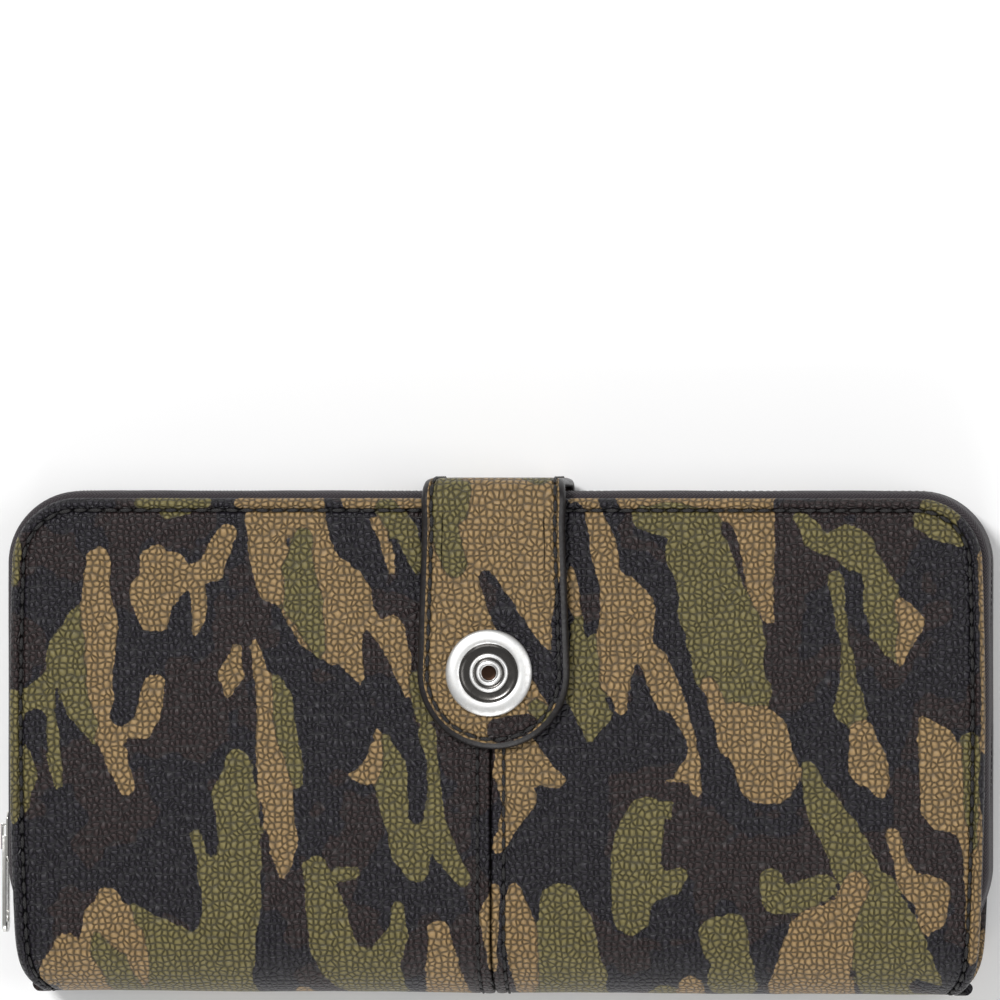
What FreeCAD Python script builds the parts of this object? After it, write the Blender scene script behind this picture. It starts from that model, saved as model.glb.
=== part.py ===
import FreeCAD, Part
import math
import os

from FreeCAD import Vector

# Zip-around trifold wallet with a snap tab, lying on its back cover. Millimetres.
# +X runs along the wallet, +Y from the spine to the zipped edge, +Z out of the front cover.
# The origin is on the outer face of the back cover, in the middle of the cover.
# Three leaves meet at the spine: the back cover, the coin pocket leaf and the front cover.
# A leather skin that bends is split at the middle of each bend, where its fold axis lies.

# covers
coverWidth = 192.0
coverLength = 98.0          # spine to zipped edge, seen from the front
walletThickness = 25.0
topCornerRadius = 13.0
spineCornerRadius = 5.0
seamX = -0.8                # the skin's centre seam, a little left of the middle
seamGap = 0.1

# layers of a cover, from its outer face inwards
leatherThickness = 1.3
hemThickness = 1.0          # the skin's edge, skived and turned in
tapeThickness = 0.5
liningThickness = 0.6
pocketThickness = 0.4

hemWidth = 8.0
boardInsetSide = 9.6
boardInsetTop = 8.2
liningInset = 5.0
bendClearance = 0.5         # flat layers stop this far short of the spine's bend
boardStop = 2.0
skinClearance = 0.3         # zip tape inside the skin's bend

# card pockets
columnGap = 3.0
columnWidth = 87.0
pocketBottomY = -33.0
pocketTopY = [38.0, 26.0, 14.0]
slipPocketTopY = 42.0
slipMargin = 0.5            # slip pocket beyond the card pockets, at each side
slipDrop = 1.0              # and below them
idPocketDrop = 10.0         # the window pocket's top below the highest card pocket
windowBorder = 9.0
rebateBorder = 6.0
filmGap = 0.2
filmShare = 0.9             # of the rebate's depth

# small corner radii of the layers
pocketCorner = 1.5
slipCorner = 3.0
windowCorner = 3.0
boardCorner = 2.0
hemCorner = 5.0
leafCorner = 4.0
squareCorner = 1.0          # where a corner is only just eased

# zip round three sides: u is the distance outside the cover's edge
flangeWidth = 7.0
tapeBendRadius = 2.1        # to the middle of the tape
tapeBendU = -1.0            # where the tape starts to turn out of the cover
coilHalfGap = 0.45
coilHeight = 1.65
coilInnerU = 0.35
coilOuterU = 1.85
zipStraightEndY = -24.0
zipTuckLength = 20.0
zipTuckIn = 2.4

# zip slider and pull
sliderLength = 10.0
sliderHalfWidth = 3.8
plateThickness = 0.5
sliderClearance = 0.15
sliderRestY = -18.5
postHalfThickness = 0.3
postLength = 2.5
archHeight = 1.5
archHalfSpan = 2.6
archBar = 0.5
archHalfWidth = 0.6
pullLength = 19.0
pullWidth = 6.0
pullThickness = 0.7
pullBarRadius = 0.3
pullArmGap = 0.3
pullEyeReach = 4.2          # from the swing axis to where the pull's plate starts
pullArmOverrun = 0.2        # how far an arm runs past the swing axis
pullCornerShare = 0.3       # fillets and hole of a pull, as shares of its width
pullHoleShare = 0.22
pullHoleAt = 0.55
sliderChamfer = 1.2
sliderChamferShare = 0.3

# coin pocket leaf
leafHalfWidth = 84.0
leafRootY = -44.0
leafTopY = 28.0
leafHalfThickness = 2.9
leafPanelThickness = 0.6
gussetThickness = 0.8
rootStripHalfThickness = 0.8
coinZipHalfLength = 82.0
coinFlangeDepth = 6.0
coinSliderHalfWidth = 2.8
coinSliderInnerHalfWidth = 1.6
coinSliderLength = 8.0
coinSliderRestX = -72.0
coinPullLength = 13.0
coinPullWidth = 4.0
coinTapeWall = 1.5          # from the leaf's edge to the outside of the coin tape
coinTapeThickness = 0.5
coinTeethShare = 0.65       # of the main coil's height
coinCoilInner = 0.5         # coin coil beyond the leaf's edge
coinCoilOuter = 2.0
coinCoilShort = 2.0
stopHalfWidth = 0.9
stopHalfHeight = 1.5
stopOverlap = 0.1
gussetDrop = 4.0            # the gusset ends this far below the leaf's mouth
gussetOpen = 20.0
spineLiningFrom = 50        # degrees round the spine
spineLiningTo = 130

# tab
tabThickness = 1.8
tabLeatherThickness = 1.0
tabRootWidth = 27.0
tabEndRadius = 15.1
tabRootDepth = 9.0
tabBridgeY = 52.0           # middle of the strip where it crosses the zip
tabRootZ = 1.5
tabLowerBendRadius = 2.4
tabUpperBendRadius = 3.6
tabGapOverFront = 1.2
tabStraight = 10.0          # how far the strip's sides stay straight beyond the zip
notchGap = 0.1
bodyGap = 0.05              # left between solids where a skin is split at a fold

# snap
snapX = seamX
snapY = 14.6
rivetHoleRadius = 1.3
rivetPlay = 0.05            # shank in its hole, and head in its seat
rivetHeadRadius = 4.0
rivetHeadThickness = 0.35
seatGap = 0.01
socketHoleRadius = 3.35

# turned outlines of the snap: radius, then height above the face the part sits on
capOutline = [(1.9, 0.0), (8.3, 0.0), (8.6, 0.35), (8.2, 0.9),
              (7.2, 1.3), (6.0, 1.2), (4.6, 0.55), (1.9, 0.4)]
tubeRivetOutline = [(1.2, 0.45), (3.8, 0.57), (3.8, 1.0), (3.4, 1.25), (2.9, 0.95),
                    (2.6, 0.85), (2.3, 1.15), (1.9, 1.25), (1.4, 0.95), (1.2, 0.85)]
socketOutline = [(2.6, -0.45), (5.3, -0.45), (5.5, -0.2), (5.5, 0.0), (3.3, 0.0),
                 (3.3, 1.55), (0.8, 1.55), (0.8, 1.25), (2.6, 1.25)]
studOutline = [(0.0, 0.0), (4.9, 0.0), (4.9, 0.3), (4.5, 0.5), (1.6, 0.5),
               (1.6, 1.2), (2.0, 1.5), (1.9, 1.9), (1.4, 2.1), (0.0, 2.1)]

halfWidth = coverWidth / 2
halfLength = coverLength / 2
midZ = walletThickness / 2
spineRadius = walletThickness / 2
spineY = -halfLength + spineRadius
foldRadius = spineRadius * math.pi / (2 * math.sqrt(2))     # keeps the skin's length as the bend flattens
FAR = 200.0
X, Y, Z = Vector(1, 0, 0), Vector(0, 1, 0), Vector(0, 0, 1)

hemTop = leatherThickness + hemThickness
tapeTop = hemTop + tapeThickness
liningTop = tapeTop + liningThickness
slipTop = liningTop + pocketThickness
tabFrontZ = walletThickness + tabGapOverFront


def box(x0, x1, y0, y1, z0, z1):
    return Part.makeBox(x1 - x0, y1 - y0, z1 - z0, Vector(x0, y0, z0))


def cylinder(radius, x, y, z0, z1):
    return Part.makeCylinder(radius, z1 - z0, Vector(x, y, z0), Z)


def fuseAll(shapes):
    whole = shapes[0]
    for shape in shapes[1:]:
        whole = whole.fuse(shape)
    return whole.removeSplitter()


def toFront(shape):
    """The same piece on the front cover: the back cover's mirror image in the wallet's middle plane."""
    return shape.mirror(Vector(0, 0, midZ), Z)


def roundedOutline(halfX, y0, y1, topRadius, bottomRadius):
    """A rectangle seen from the front, with its two pairs of corners rounded."""
    corners = [(-halfX, y0, bottomRadius, 180), (halfX, y0, bottomRadius, 270),
               (halfX, y1, topRadius, 0), (-halfX, y1, topRadius, 90)]
    edges, last, first = [], None, None
    for x, y, radius, startAngle in corners:
        centre = Vector(x - math.copysign(radius, x), y + radius if y == y0 else y - radius, 0)
        points = [centre + Vector(math.cos(math.radians(startAngle + a)),
                                  math.sin(math.radians(startAngle + a)), 0) * radius
                  for a in (0, 45, 90)]
        if last is not None:
            edges.append(Part.LineSegment(last, points[0]).toShape())
        edges.append(Part.Arc(*points).toShape())
        first = first or points[0]
        last = points[2]
    edges.append(Part.LineSegment(last, first).toShape())
    return Part.Face(Part.Wire(edges))


def plate(face, z0, z1):
    lifted = face.copy()
    lifted.translate(Vector(0, 0, z0))
    return lifted.extrude(Vector(0, 0, z1 - z0))


def coverPlate(insetSide, insetTop, z0, z1):
    """A flat layer of a cover, inset from its edges, that stops short of the spine's bend."""
    radius = max(topCornerRadius - insetTop, boardCorner)
    face = roundedOutline(halfWidth - insetSide, spineY + bendClearance, halfLength - insetTop,
                          radius, squareCorner)
    return plate(face, z0, z1)


def spineArc(outer, inner, angle0, angle1, halfX):
    """Part of a tube along X about the spine's centre. Angle 0 points down, 90 along -Y and 180 up."""
    start = Part.Face(Part.makePolygon([
        Vector(-halfX, spineY, midZ - outer), Vector(-halfX, spineY, midZ - inner),
        Vector(halfX, spineY, midZ - inner), Vector(halfX, spineY, midZ - outer),
        Vector(-halfX, spineY, midZ - outer)]))
    centre = Vector(0, spineY, midZ)
    start.rotate(centre, X, -angle0)
    return start.revolve(centre, X, -(angle1 - angle0))


def wholeSkinOutline():
    return plate(roundedOutline(halfWidth, -halfLength, halfLength, topCornerRadius, spineCornerRadius),
                 0, walletThickness)


def leftOfSeam(shape):
    return shape.common(box(-FAR, seamX - seamGap / 2, -FAR, FAR, -FAR, FAR))


def rightOfSeam(shape):
    return shape.common(box(seamX + seamGap / 2, FAR, -FAR, FAR, -FAR, FAR))


# cover layers, made for the back cover and mirrored for the front

def coverSkin():
    """Outer leather: the flat, the hem turned in on three sides, and half of one spine bend."""
    outline = wholeSkinOutline()
    flat = outline.common(box(-FAR, FAR, spineY, FAR, 0, leatherThickness))
    gapAngle = math.degrees(bodyGap / spineRadius)
    bend = spineArc(spineRadius, spineRadius - leatherThickness, 0, 45 - gapAngle, halfWidth).common(outline)
    hem = outline.common(box(-FAR, FAR, spineY, FAR, leatherThickness, hemTop))
    inside = plate(roundedOutline(halfWidth - hemWidth, -FAR, halfLength - hemWidth, hemCorner, squareCorner),
                   0, FAR)
    return fuseAll([flat, bend, hem.cut(inside)])


def coverBoard():
    board = coverPlate(boardInsetSide, boardInsetTop, leatherThickness, tapeTop)
    return board.cut(box(-FAR, FAR, -FAR, spineY + boardStop, 0, FAR))


def coverLining():
    return coverPlate(liningInset, liningInset, tapeTop, liningTop)


def slipPocket():
    halfX = columnWidth + columnGap / 2 + slipMargin
    face = roundedOutline(halfX, pocketBottomY - slipDrop, slipPocketTopY, slipCorner, squareCorner)
    return plate(face, liningTop, slipTop)


def cardPocket(side, level):
    """One card pocket front. Level 0 stands highest and lies deepest."""
    z0 = slipTop + level * pocketThickness
    face = roundedOutline(columnWidth / 2, pocketBottomY, pocketTopY[level], pocketCorner, squareCorner)
    panel = plate(face, z0, z0 + pocketThickness)
    panel.translate(Vector(side * (columnWidth + columnGap) / 2, 0, 0))
    return panel


def idPocket(side):
    """A card pocket front with a window, and the clear film that closes it."""
    z0 = slipTop
    topY = pocketTopY[0] - idPocketDrop

    def opening(border, height):
        face = roundedOutline(columnWidth / 2 - border, pocketBottomY + border, topY - border,
                              windowCorner, windowCorner)
        return plate(face, z0, z0 + height)

    frame = plate(roundedOutline(columnWidth / 2, pocketBottomY, topY, pocketCorner, squareCorner),
                  z0, z0 + 2 * pocketThickness)
    frame = frame.cut(opening(windowBorder, 2 * pocketThickness)).cut(opening(rebateBorder, pocketThickness))
    film = opening(rebateBorder + filmGap, pocketThickness * filmShare)
    for piece in (frame, film):
        piece.translate(Vector(side * (columnWidth + columnGap) / 2, 0, 0))
    return frame, film


# the zip round three sides

def sweepThreeSides(profile):
    """Carries a closed (u, z) wire round the left, top and right edges, and tucks both ends in at the spine."""
    cornerY = halfLength - topCornerRadius
    cornerX = halfWidth - topCornerRadius
    right = profile.copy()
    right.translate(Vector(halfWidth, zipStraightEndY, 0))
    side = right.extrude(Vector(0, cornerY - zipStraightEndY, 0))
    tuck = right.extrude(Vector(-zipTuckIn, -zipTuckLength, 0))
    atCorner = profile.copy()
    atCorner.translate(Vector(halfWidth, cornerY, 0))
    corner = atCorner.revolve(Vector(cornerX, cornerY, 0), Z, 90)
    top = atCorner.copy()
    top.rotate(Vector(cornerX, cornerY, 0), Z, 90)
    top = top.extrude(Vector(-cornerX, 0, 0))
    half = fuseAll([tuck, side, corner, top])
    return fuseAll([half, half.mirror(Vector(0, 0, 0), X)])


def insideSpine(shape):
    """Keeps a piece clear of the skin where the skin bends."""
    reach = spineRadius - leatherThickness - skinClearance
    allowed = Part.makeCylinder(reach, 2 * FAR, Vector(-FAR, spineY, midZ), X)
    allowed = allowed.fuse(box(-FAR, FAR, spineY, FAR, -FAR, FAR))
    return shape.common(allowed)


def tapeProfile():
    """Section of one zip tape at x = u, in the XZ plane: sewn flange, bend, and wall up to the coil."""
    half = tapeThickness / 2
    middleZ = hemTop + half
    bendZ = middleZ + tapeBendRadius
    outer, inner = tapeBendRadius + half, tapeBendRadius - half
    wallTop = midZ - coilHalfGap - coilHeight
    slant = math.sqrt(0.5)

    def at(u, z):
        return Vector(u, 0, z)

    def onBend(radius):
        return at(tapeBendU + radius * slant, bendZ - radius * slant)

    edges = [
        Part.LineSegment(at(-flangeWidth, hemTop), at(tapeBendU, hemTop)).toShape(),
        Part.Arc(at(tapeBendU, hemTop), onBend(outer), at(tapeBendU + outer, bendZ)).toShape(),
        Part.LineSegment(at(tapeBendU + outer, bendZ), at(tapeBendU + outer, wallTop)).toShape(),
        Part.LineSegment(at(tapeBendU + outer, wallTop), at(tapeBendU + inner, wallTop)).toShape(),
        Part.LineSegment(at(tapeBendU + inner, wallTop), at(tapeBendU + inner, bendZ)).toShape(),
        Part.Arc(at(tapeBendU + inner, bendZ), onBend(inner), at(tapeBendU, tapeTop)).toShape(),
        Part.LineSegment(at(tapeBendU, tapeTop), at(-flangeWidth, tapeTop)).toShape(),
        Part.LineSegment(at(-flangeWidth, tapeTop), at(-flangeWidth, hemTop)).toShape(),
    ]
    return Part.Face(Part.Wire(edges))


def coilProfile():
    z0 = midZ - coilHalfGap - coilHeight
    z1 = midZ - coilHalfGap
    return Part.Face(Part.makePolygon([
        Vector(coilInnerU, 0, z0), Vector(coilOuterU, 0, z0), Vector(coilOuterU, 0, z1),
        Vector(coilInnerU, 0, z1), Vector(coilInnerU, 0, z0)]))


def zipTape():
    return insideSpine(sweepThreeSides(tapeProfile()))


def zipCoil():
    return insideSpine(sweepThreeSides(coilProfile()))


def zipSlider(innerU, outerU, halfWide, innerHalfWide, length):
    """A slider about the origin: u runs along -X, travel along Y, the two coils above and below z = 0."""
    outer = box(-outerU - sliderClearance - plateThickness, -outerU - sliderClearance,
                -length / 2, length / 2, -halfWide, halfWide)
    inner = box(-innerU + sliderClearance, -innerU + sliderClearance + plateThickness,
                -length / 2, length / 2, -innerHalfWide, innerHalfWide)
    corners = [e for e in outer.Edges if abs(e.tangentAt(0).x) > 0.9]
    outer = outer.makeChamfer(min(sliderChamfer, halfWide * sliderChamferShare), corners)
    post = box(-outerU - sliderClearance, -innerU + sliderClearance,
               -length / 2, -length / 2 + postLength, -postHalfThickness, postHalfThickness)
    plateX = -outerU - sliderClearance - plateThickness
    arch = box(plateX - archHeight, plateX, -archHalfSpan, archHalfSpan, -archHalfWidth, archHalfWidth)
    eye = box(plateX - archHeight + archBar, plateX, -archHalfSpan + archBar, archHalfSpan - archBar,
              -archHalfWidth, archHalfWidth)
    return fuseAll([outer, inner, post, arch.cut(eye)])


def pullAxisX(outerU):
    return -outerU - sliderClearance - plateThickness - (archHeight - archBar) / 2


def zipPull(outerU, length, width):
    """A pull on the arch, pointing along -Y: a cross bar under the arch, two arms and a plate with a hole."""
    axisX = pullAxisX(outerU)
    armInner = archHalfWidth + pullArmGap
    bar = Part.makeCylinder(pullBarRadius, 2 * armInner, Vector(axisX, 0, -armInner), Z)
    x0, x1 = axisX - pullThickness / 2, axisX + pullThickness / 2
    upperArm = box(x0, x1, -pullEyeReach, pullArmOverrun, armInner, width / 2)
    lowerArm = box(x0, x1, -pullEyeReach, pullArmOverrun, -width / 2, -armInner)
    body = box(x0, x1, -length, -pullEyeReach, -width / 2, width / 2)
    farCorners = [e for e in body.Edges if abs(e.tangentAt(0).x) > 0.9 and e.CenterOfMass.y < -length + 0.1]
    body = body.makeFillet(width * pullCornerShare, farCorners)
    hole = Part.makeCylinder(width * pullHoleShare, 4 * pullThickness,
                             Vector(axisX - 2 * pullThickness, -length + width * pullHoleAt, 0), X)
    return fuseAll([bar, body.cut(hole), upperArm, lowerArm])


def mainSlider():
    slider = zipSlider(coilInnerU, coilOuterU, sliderHalfWidth, sliderHalfWidth, sliderLength)
    pull = zipPull(coilOuterU, pullLength, pullWidth)
    place = Vector(-halfWidth, sliderRestY, midZ)
    slider.translate(place)
    pull.translate(place)
    return slider, pull


# the spine and the coin pocket leaf

def spineSkin():
    gapAngle = math.degrees(bodyGap / spineRadius)
    arc = spineArc(spineRadius, spineRadius - leatherThickness, 45 + gapAngle, 135 - gapAngle, halfWidth)
    return arc.common(wholeSkinOutline())


def spineLining():
    outer = spineRadius - leatherThickness
    return spineArc(outer, outer - liningThickness, spineLiningFrom, spineLiningTo, halfWidth - liningInset)


def leafRootStrip():
    reach = spineRadius - leatherThickness - liningThickness
    strip = box(-leafHalfWidth, leafHalfWidth, -FAR, leafRootY,
                midZ - rootStripHalfThickness, midZ + rootStripHalfThickness)
    return strip.common(Part.makeCylinder(reach, 2 * FAR, Vector(-FAR, spineY, midZ), X))


def leafPanel():
    face = roundedOutline(leafHalfWidth, leafRootY, leafTopY, leafCorner, squareCorner)
    return plate(face, midZ - leafHalfThickness, midZ - leafHalfThickness + leafPanelThickness)


def leafGusset():
    z0 = midZ - leafHalfThickness + leafPanelThickness
    outer = plate(roundedOutline(leafHalfWidth, leafRootY, leafTopY + gussetOpen, squareCorner, squareCorner),
                  z0, 2 * midZ - z0)
    inner = plate(roundedOutline(leafHalfWidth - gussetThickness, leafRootY + gussetThickness,
                                 leafTopY + gussetOpen + squareCorner, squareCorner, squareCorner),
                  z0, 2 * midZ - z0)
    below = box(-FAR, FAR, -FAR, leafTopY - gussetDrop, -FAR, FAR)
    return outer.cut(inner).common(below)


def coinTape():
    """Flange under the leaf's panel and a short wall across the mouth, up to the coil."""
    z0 = midZ - leafHalfThickness + leafPanelThickness
    wallTop = midZ - coilHalfGap - coilHeight * coinTeethShare
    wallY = leafTopY + coinTapeWall
    flange = box(-coinZipHalfLength, coinZipHalfLength, leafTopY - coinFlangeDepth, wallY,
                 z0, z0 + coinTapeThickness)
    wall = box(-coinZipHalfLength, coinZipHalfLength, wallY - coinTapeThickness, wallY, z0, wallTop)
    return fuseAll([flange, wall])


def coinCoil():
    z1 = midZ - coilHalfGap
    halfX = coinZipHalfLength - coinCoilShort
    return box(-halfX, halfX, leafTopY + coinCoilInner, leafTopY + coinCoilOuter,
               z1 - coilHeight * coinTeethShare, z1)


def coinStops():
    """Metal stops at the two ends of the coin zip."""
    y0, y1 = leafTopY + coinCoilInner - stopOverlap, leafTopY + coinCoilOuter + stopOverlap
    middle = coinZipHalfLength - coinCoilShort / 2
    return Part.makeCompound([
        box(x - stopHalfWidth, x + stopHalfWidth, y0, y1, midZ - stopHalfHeight, midZ + stopHalfHeight)
        for x in (-middle, middle)])


def coinSlider():
    slider = zipSlider(coinCoilInner, coinCoilOuter, coinSliderHalfWidth, coinSliderInnerHalfWidth,
                       coinSliderLength)
    pull = zipPull(coinCoilOuter, coinPullLength, coinPullWidth)
    place = Vector(coinSliderRestX, leafTopY, midZ)
    for piece in (slider, pull):
        piece.rotate(Vector(0, 0, 0), Z, -90)
        piece.translate(place)
    return slider, pull


# the tab

def stripOutline():
    """The tab's tongue seen from the front: straight sides that widen a little to a round end."""
    start = tabBridgeY + tabStraight
    lean = math.asin((tabEndRadius - tabRootWidth / 2) / (start - snapY))
    tangent = Vector(tabEndRadius * math.cos(lean), tabEndRadius * math.sin(lean), 0)
    centre = Vector(0, snapY, 0)
    right = centre + tangent
    left = centre + Vector(-tangent.x, tangent.y, 0)
    tip = centre + Vector(0, -tabEndRadius, 0)
    topRight = Vector(tabRootWidth / 2, start, 0)
    topLeft = Vector(-tabRootWidth / 2, start, 0)
    face = Part.Face(Part.Wire([
        Part.Arc(right, tip, left).toShape(), Part.LineSegment(left, topLeft).toShape(),
        Part.LineSegment(topLeft, topRight).toShape(), Part.LineSegment(topRight, right).toShape()]))
    return face.extrude(Vector(0, 0, FAR))


def stripArc(centreY, centreZ, radius, depth0, depth1, angle0, angle1):
    """Part of the tab's bend. Depth is measured from the inner face outwards; angle 0 points down, 90 along +Y."""
    inner = radius - tabThickness / 2
    r0, r1 = inner + depth0, inner + depth1
    half = tabRootWidth
    face = Part.Face(Part.makePolygon([
        Vector(-half, centreY, centreZ - r1), Vector(half, centreY, centreZ - r1),
        Vector(half, centreY, centreZ - r0), Vector(-half, centreY, centreZ - r0),
        Vector(-half, centreY, centreZ - r1)]))
    centre = Vector(0, centreY, centreZ)
    face.rotate(centre, X, angle0)
    return face.revolve(centre, X, angle1 - angle0)


lowerBend = (tabBridgeY - tabLowerBendRadius, tabRootZ + tabLowerBendRadius)
upperBend = (tabBridgeY - tabUpperBendRadius, tabFrontZ + tabThickness / 2 - tabUpperBendRadius)


def foldPoint(bend, radius, upwards):
    """On the tab's outer face, half way round a bend."""
    reach = (radius + tabThickness / 2) * math.sqrt(0.5)
    return bend[0] + reach, bend[1] + (reach if upwards else -reach)


def tabBridge(depth0, depth1):
    """The stretch that crosses the zip, between the middles of the tab's two bends."""
    gapLower = math.degrees(bodyGap / tabLowerBendRadius)
    gapUpper = math.degrees(bodyGap / tabUpperBendRadius)
    innerY = tabBridgeY - tabThickness / 2
    wall = box(-tabRootWidth, tabRootWidth, innerY + depth0, innerY + depth1, lowerBend[1], upperBend[1])
    low = stripArc(*lowerBend, tabLowerBendRadius, depth0, depth1, 45 + gapLower, 90)
    high = stripArc(*upperBend, tabUpperBendRadius, depth0, depth1, 90, 135 - gapUpper)
    strip = fuseAll([low, wall, high])
    return strip.common(stripOutline())


def tabTongue(depth0, depth1):
    gapUpper = math.degrees(bodyGap / tabUpperBendRadius)
    bend = stripArc(*upperBend, tabUpperBendRadius, depth0, depth1, 135 + gapUpper, 180)
    flat = box(-tabRootWidth, tabRootWidth, -FAR, upperBend[0], tabFrontZ + depth0, tabFrontZ + depth1)
    return fuseAll([bend, flat]).common(stripOutline())


def tabRoot():
    """The tab's thinned end, sewn between the back cover's skin and its zip tape."""
    gapLower = math.degrees(bodyGap / tabLowerBendRadius)
    flat = box(-tabRootWidth / 2, tabRootWidth / 2, halfLength - tabRootDepth, halfLength,
               leatherThickness, hemTop)
    outside = box(-tabRootWidth / 2, tabRootWidth / 2, halfLength, lowerBend[0],
                  tabRootZ - tabThickness / 2, tabRootZ + tabThickness / 2)
    bend = stripArc(*lowerBend, tabLowerBendRadius, 0, tabThickness, 0, 45 - gapLower)
    bend = bend.common(box(-tabRootWidth / 2, tabRootWidth / 2, -FAR, FAR, -FAR, FAR))
    skin = box(-FAR, FAR, -FAR, halfLength + bodyGap, 0, leatherThickness)
    return fuseAll([flat, outside.cut(skin), bend])


def tabRootNotch():
    halfX = tabRootWidth / 2 + notchGap
    return box(-halfX, halfX, halfLength - tabRootDepth - notchGap, FAR, leatherThickness, hemTop)


# the snap

def revolved(outline, z0):
    """A turned snap part from its outline, on the face at z0."""
    wire = Part.makePolygon([Vector(snapX + r, snapY, z0 + z) for r, z in outline + outline[:1]])
    return Part.Face(wire).revolve(Vector(snapX, snapY, 0), Z, 360)


def studRivet():
    """The stud's fixing: a shank through the cover and a flat head under the lining."""
    headZ = walletThickness - tapeTop
    shank = cylinder(rivetHoleRadius - rivetPlay, snapX, snapY, headZ + rivetHeadThickness, walletThickness)
    head = cylinder(rivetHeadRadius, snapX, snapY, headZ, headZ + rivetHeadThickness)
    return fuseAll([shank, head])


def rivetSeat():
    headZ = walletThickness - tapeTop
    return cylinder(rivetHeadRadius + rivetPlay, snapX, snapY, headZ, headZ + rivetHeadThickness + seatGap)


def studHole(shape):
    return shape.cut(cylinder(rivetHoleRadius, snapX, snapY, 0, FAR))


def socketHole(shape):
    return shape.cut(cylinder(socketHoleRadius, snapX, snapY, 0, FAR))


# every node

def buildNodes():
    nodes = {}
    skin = coverSkin()
    backSkin = skin.cut(tabRootNotch())
    frontSkin = studHole(toFront(skin))
    nodes["back_leather_left"] = leftOfSeam(backSkin)
    nodes["back_leather_right"] = rightOfSeam(backSkin)
    nodes["front_leather_left"] = leftOfSeam(frontSkin)
    nodes["front_leather_right"] = rightOfSeam(frontSkin)
    nodes["spine_leather_left"] = leftOfSeam(spineSkin())
    nodes["spine_leather_right"] = rightOfSeam(spineSkin())

    board = coverBoard()
    nodes["back_board"] = board.cut(tabRootNotch())
    nodes["front_board"] = studHole(toFront(board)).cut(rivetSeat())
    nodes["back_lining"] = coverLining()
    nodes["front_lining"] = toFront(coverLining())
    nodes["back_slip_pocket"] = slipPocket()
    nodes["front_slip_pocket"] = toFront(slipPocket())
    for level in range(len(pocketTopY)):
        nodes[f"back_card_pocket_left_{level + 1}"] = cardPocket(-1, level)
        nodes[f"back_card_pocket_right_{level + 1}"] = cardPocket(1, level)
        nodes[f"front_card_pocket_right_{level + 1}"] = toFront(cardPocket(1, level))
    frame, film = idPocket(-1)
    nodes["front_id_pocket"] = toFront(frame)
    nodes["front_id_window"] = toFront(film)

    nodes["zip_tape_back"] = zipTape()
    nodes["zip_tape_front"] = toFront(zipTape())
    nodes["zip_coil_back"] = zipCoil()
    nodes["zip_coil_front"] = toFront(zipCoil())
    nodes["zip_slider"], nodes["zip_pull"] = mainSlider()

    nodes["spine_lining"] = spineLining()
    nodes["leaf_root_strip"] = leafRootStrip()
    nodes["coin_pocket_back_panel"] = leafPanel()
    nodes["coin_pocket_front_panel"] = toFront(leafPanel())
    nodes["coin_pocket_gusset"] = leafGusset()
    nodes["coin_zip_tape_back"] = coinTape()
    nodes["coin_zip_tape_front"] = toFront(coinTape())
    nodes["coin_zip_coil_back"] = coinCoil()
    nodes["coin_zip_coil_front"] = toFront(coinCoil())
    nodes["coin_zip_stops"] = coinStops()
    nodes["coin_zip_slider"], nodes["coin_zip_pull"] = coinSlider()

    liningDepth = tabThickness - tabLeatherThickness
    nodes["tab_root"] = tabRoot()
    nodes["tab_bridge_lining"] = tabBridge(0, liningDepth)
    nodes["tab_bridge_leather"] = tabBridge(liningDepth, tabThickness)
    nodes["tab_tongue_lining"] = socketHole(tabTongue(0, liningDepth))
    nodes["tab_tongue_leather"] = socketHole(tabTongue(liningDepth, tabThickness))
    nodes["snap_cap"] = revolved(capOutline, tabFrontZ + tabThickness)
    nodes["snap_rivet"] = revolved(tubeRivetOutline, tabFrontZ + tabThickness)
    nodes["snap_socket"] = revolved(socketOutline, tabFrontZ)
    nodes["snap_stud"] = revolved(studOutline, walletThickness)
    nodes["snap_stud_rivet"] = studRivet()
    return nodes


def main():
    os.makedirs("parts", exist_ok=True)
    for name, shape in buildNodes().items():
        solids = shape.Solids
        assert solids and shape.isValid(), name
        whole = solids[0] if len(solids) == 1 else Part.makeCompound(solids)
        whole.exportStep(f"parts/{name}.step")
        print(f"{name}: {len(solids)} solid(s), {whole.Volume:.1f} mm3, "
              f"z {whole.BoundBox.ZMin:.2f} to {whole.BoundBox.ZMax:.2f}")
    print("spine folds at", [round(v, 3) for v in (spineY - foldRadius * math.sqrt(0.5),
                                                   midZ - foldRadius * math.sqrt(0.5),
                                                   midZ + foldRadius * math.sqrt(0.5))])
    print("tab folds at", foldPoint(lowerBend, tabLowerBendRadius, False),
          foldPoint(upperBend, tabUpperBendRadius, True))
    print("pull axes at", -halfWidth + pullAxisX(coilOuterU), sliderRestY,
          coinSliderRestX, leafTopY - pullAxisX(coinCoilOuter))


main()
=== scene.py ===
import bpy
import bmesh
import math
import numpy as np
from mathutils import Matrix, Vector
from mathutils.geometry import delaunay_2d_cdt


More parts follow.
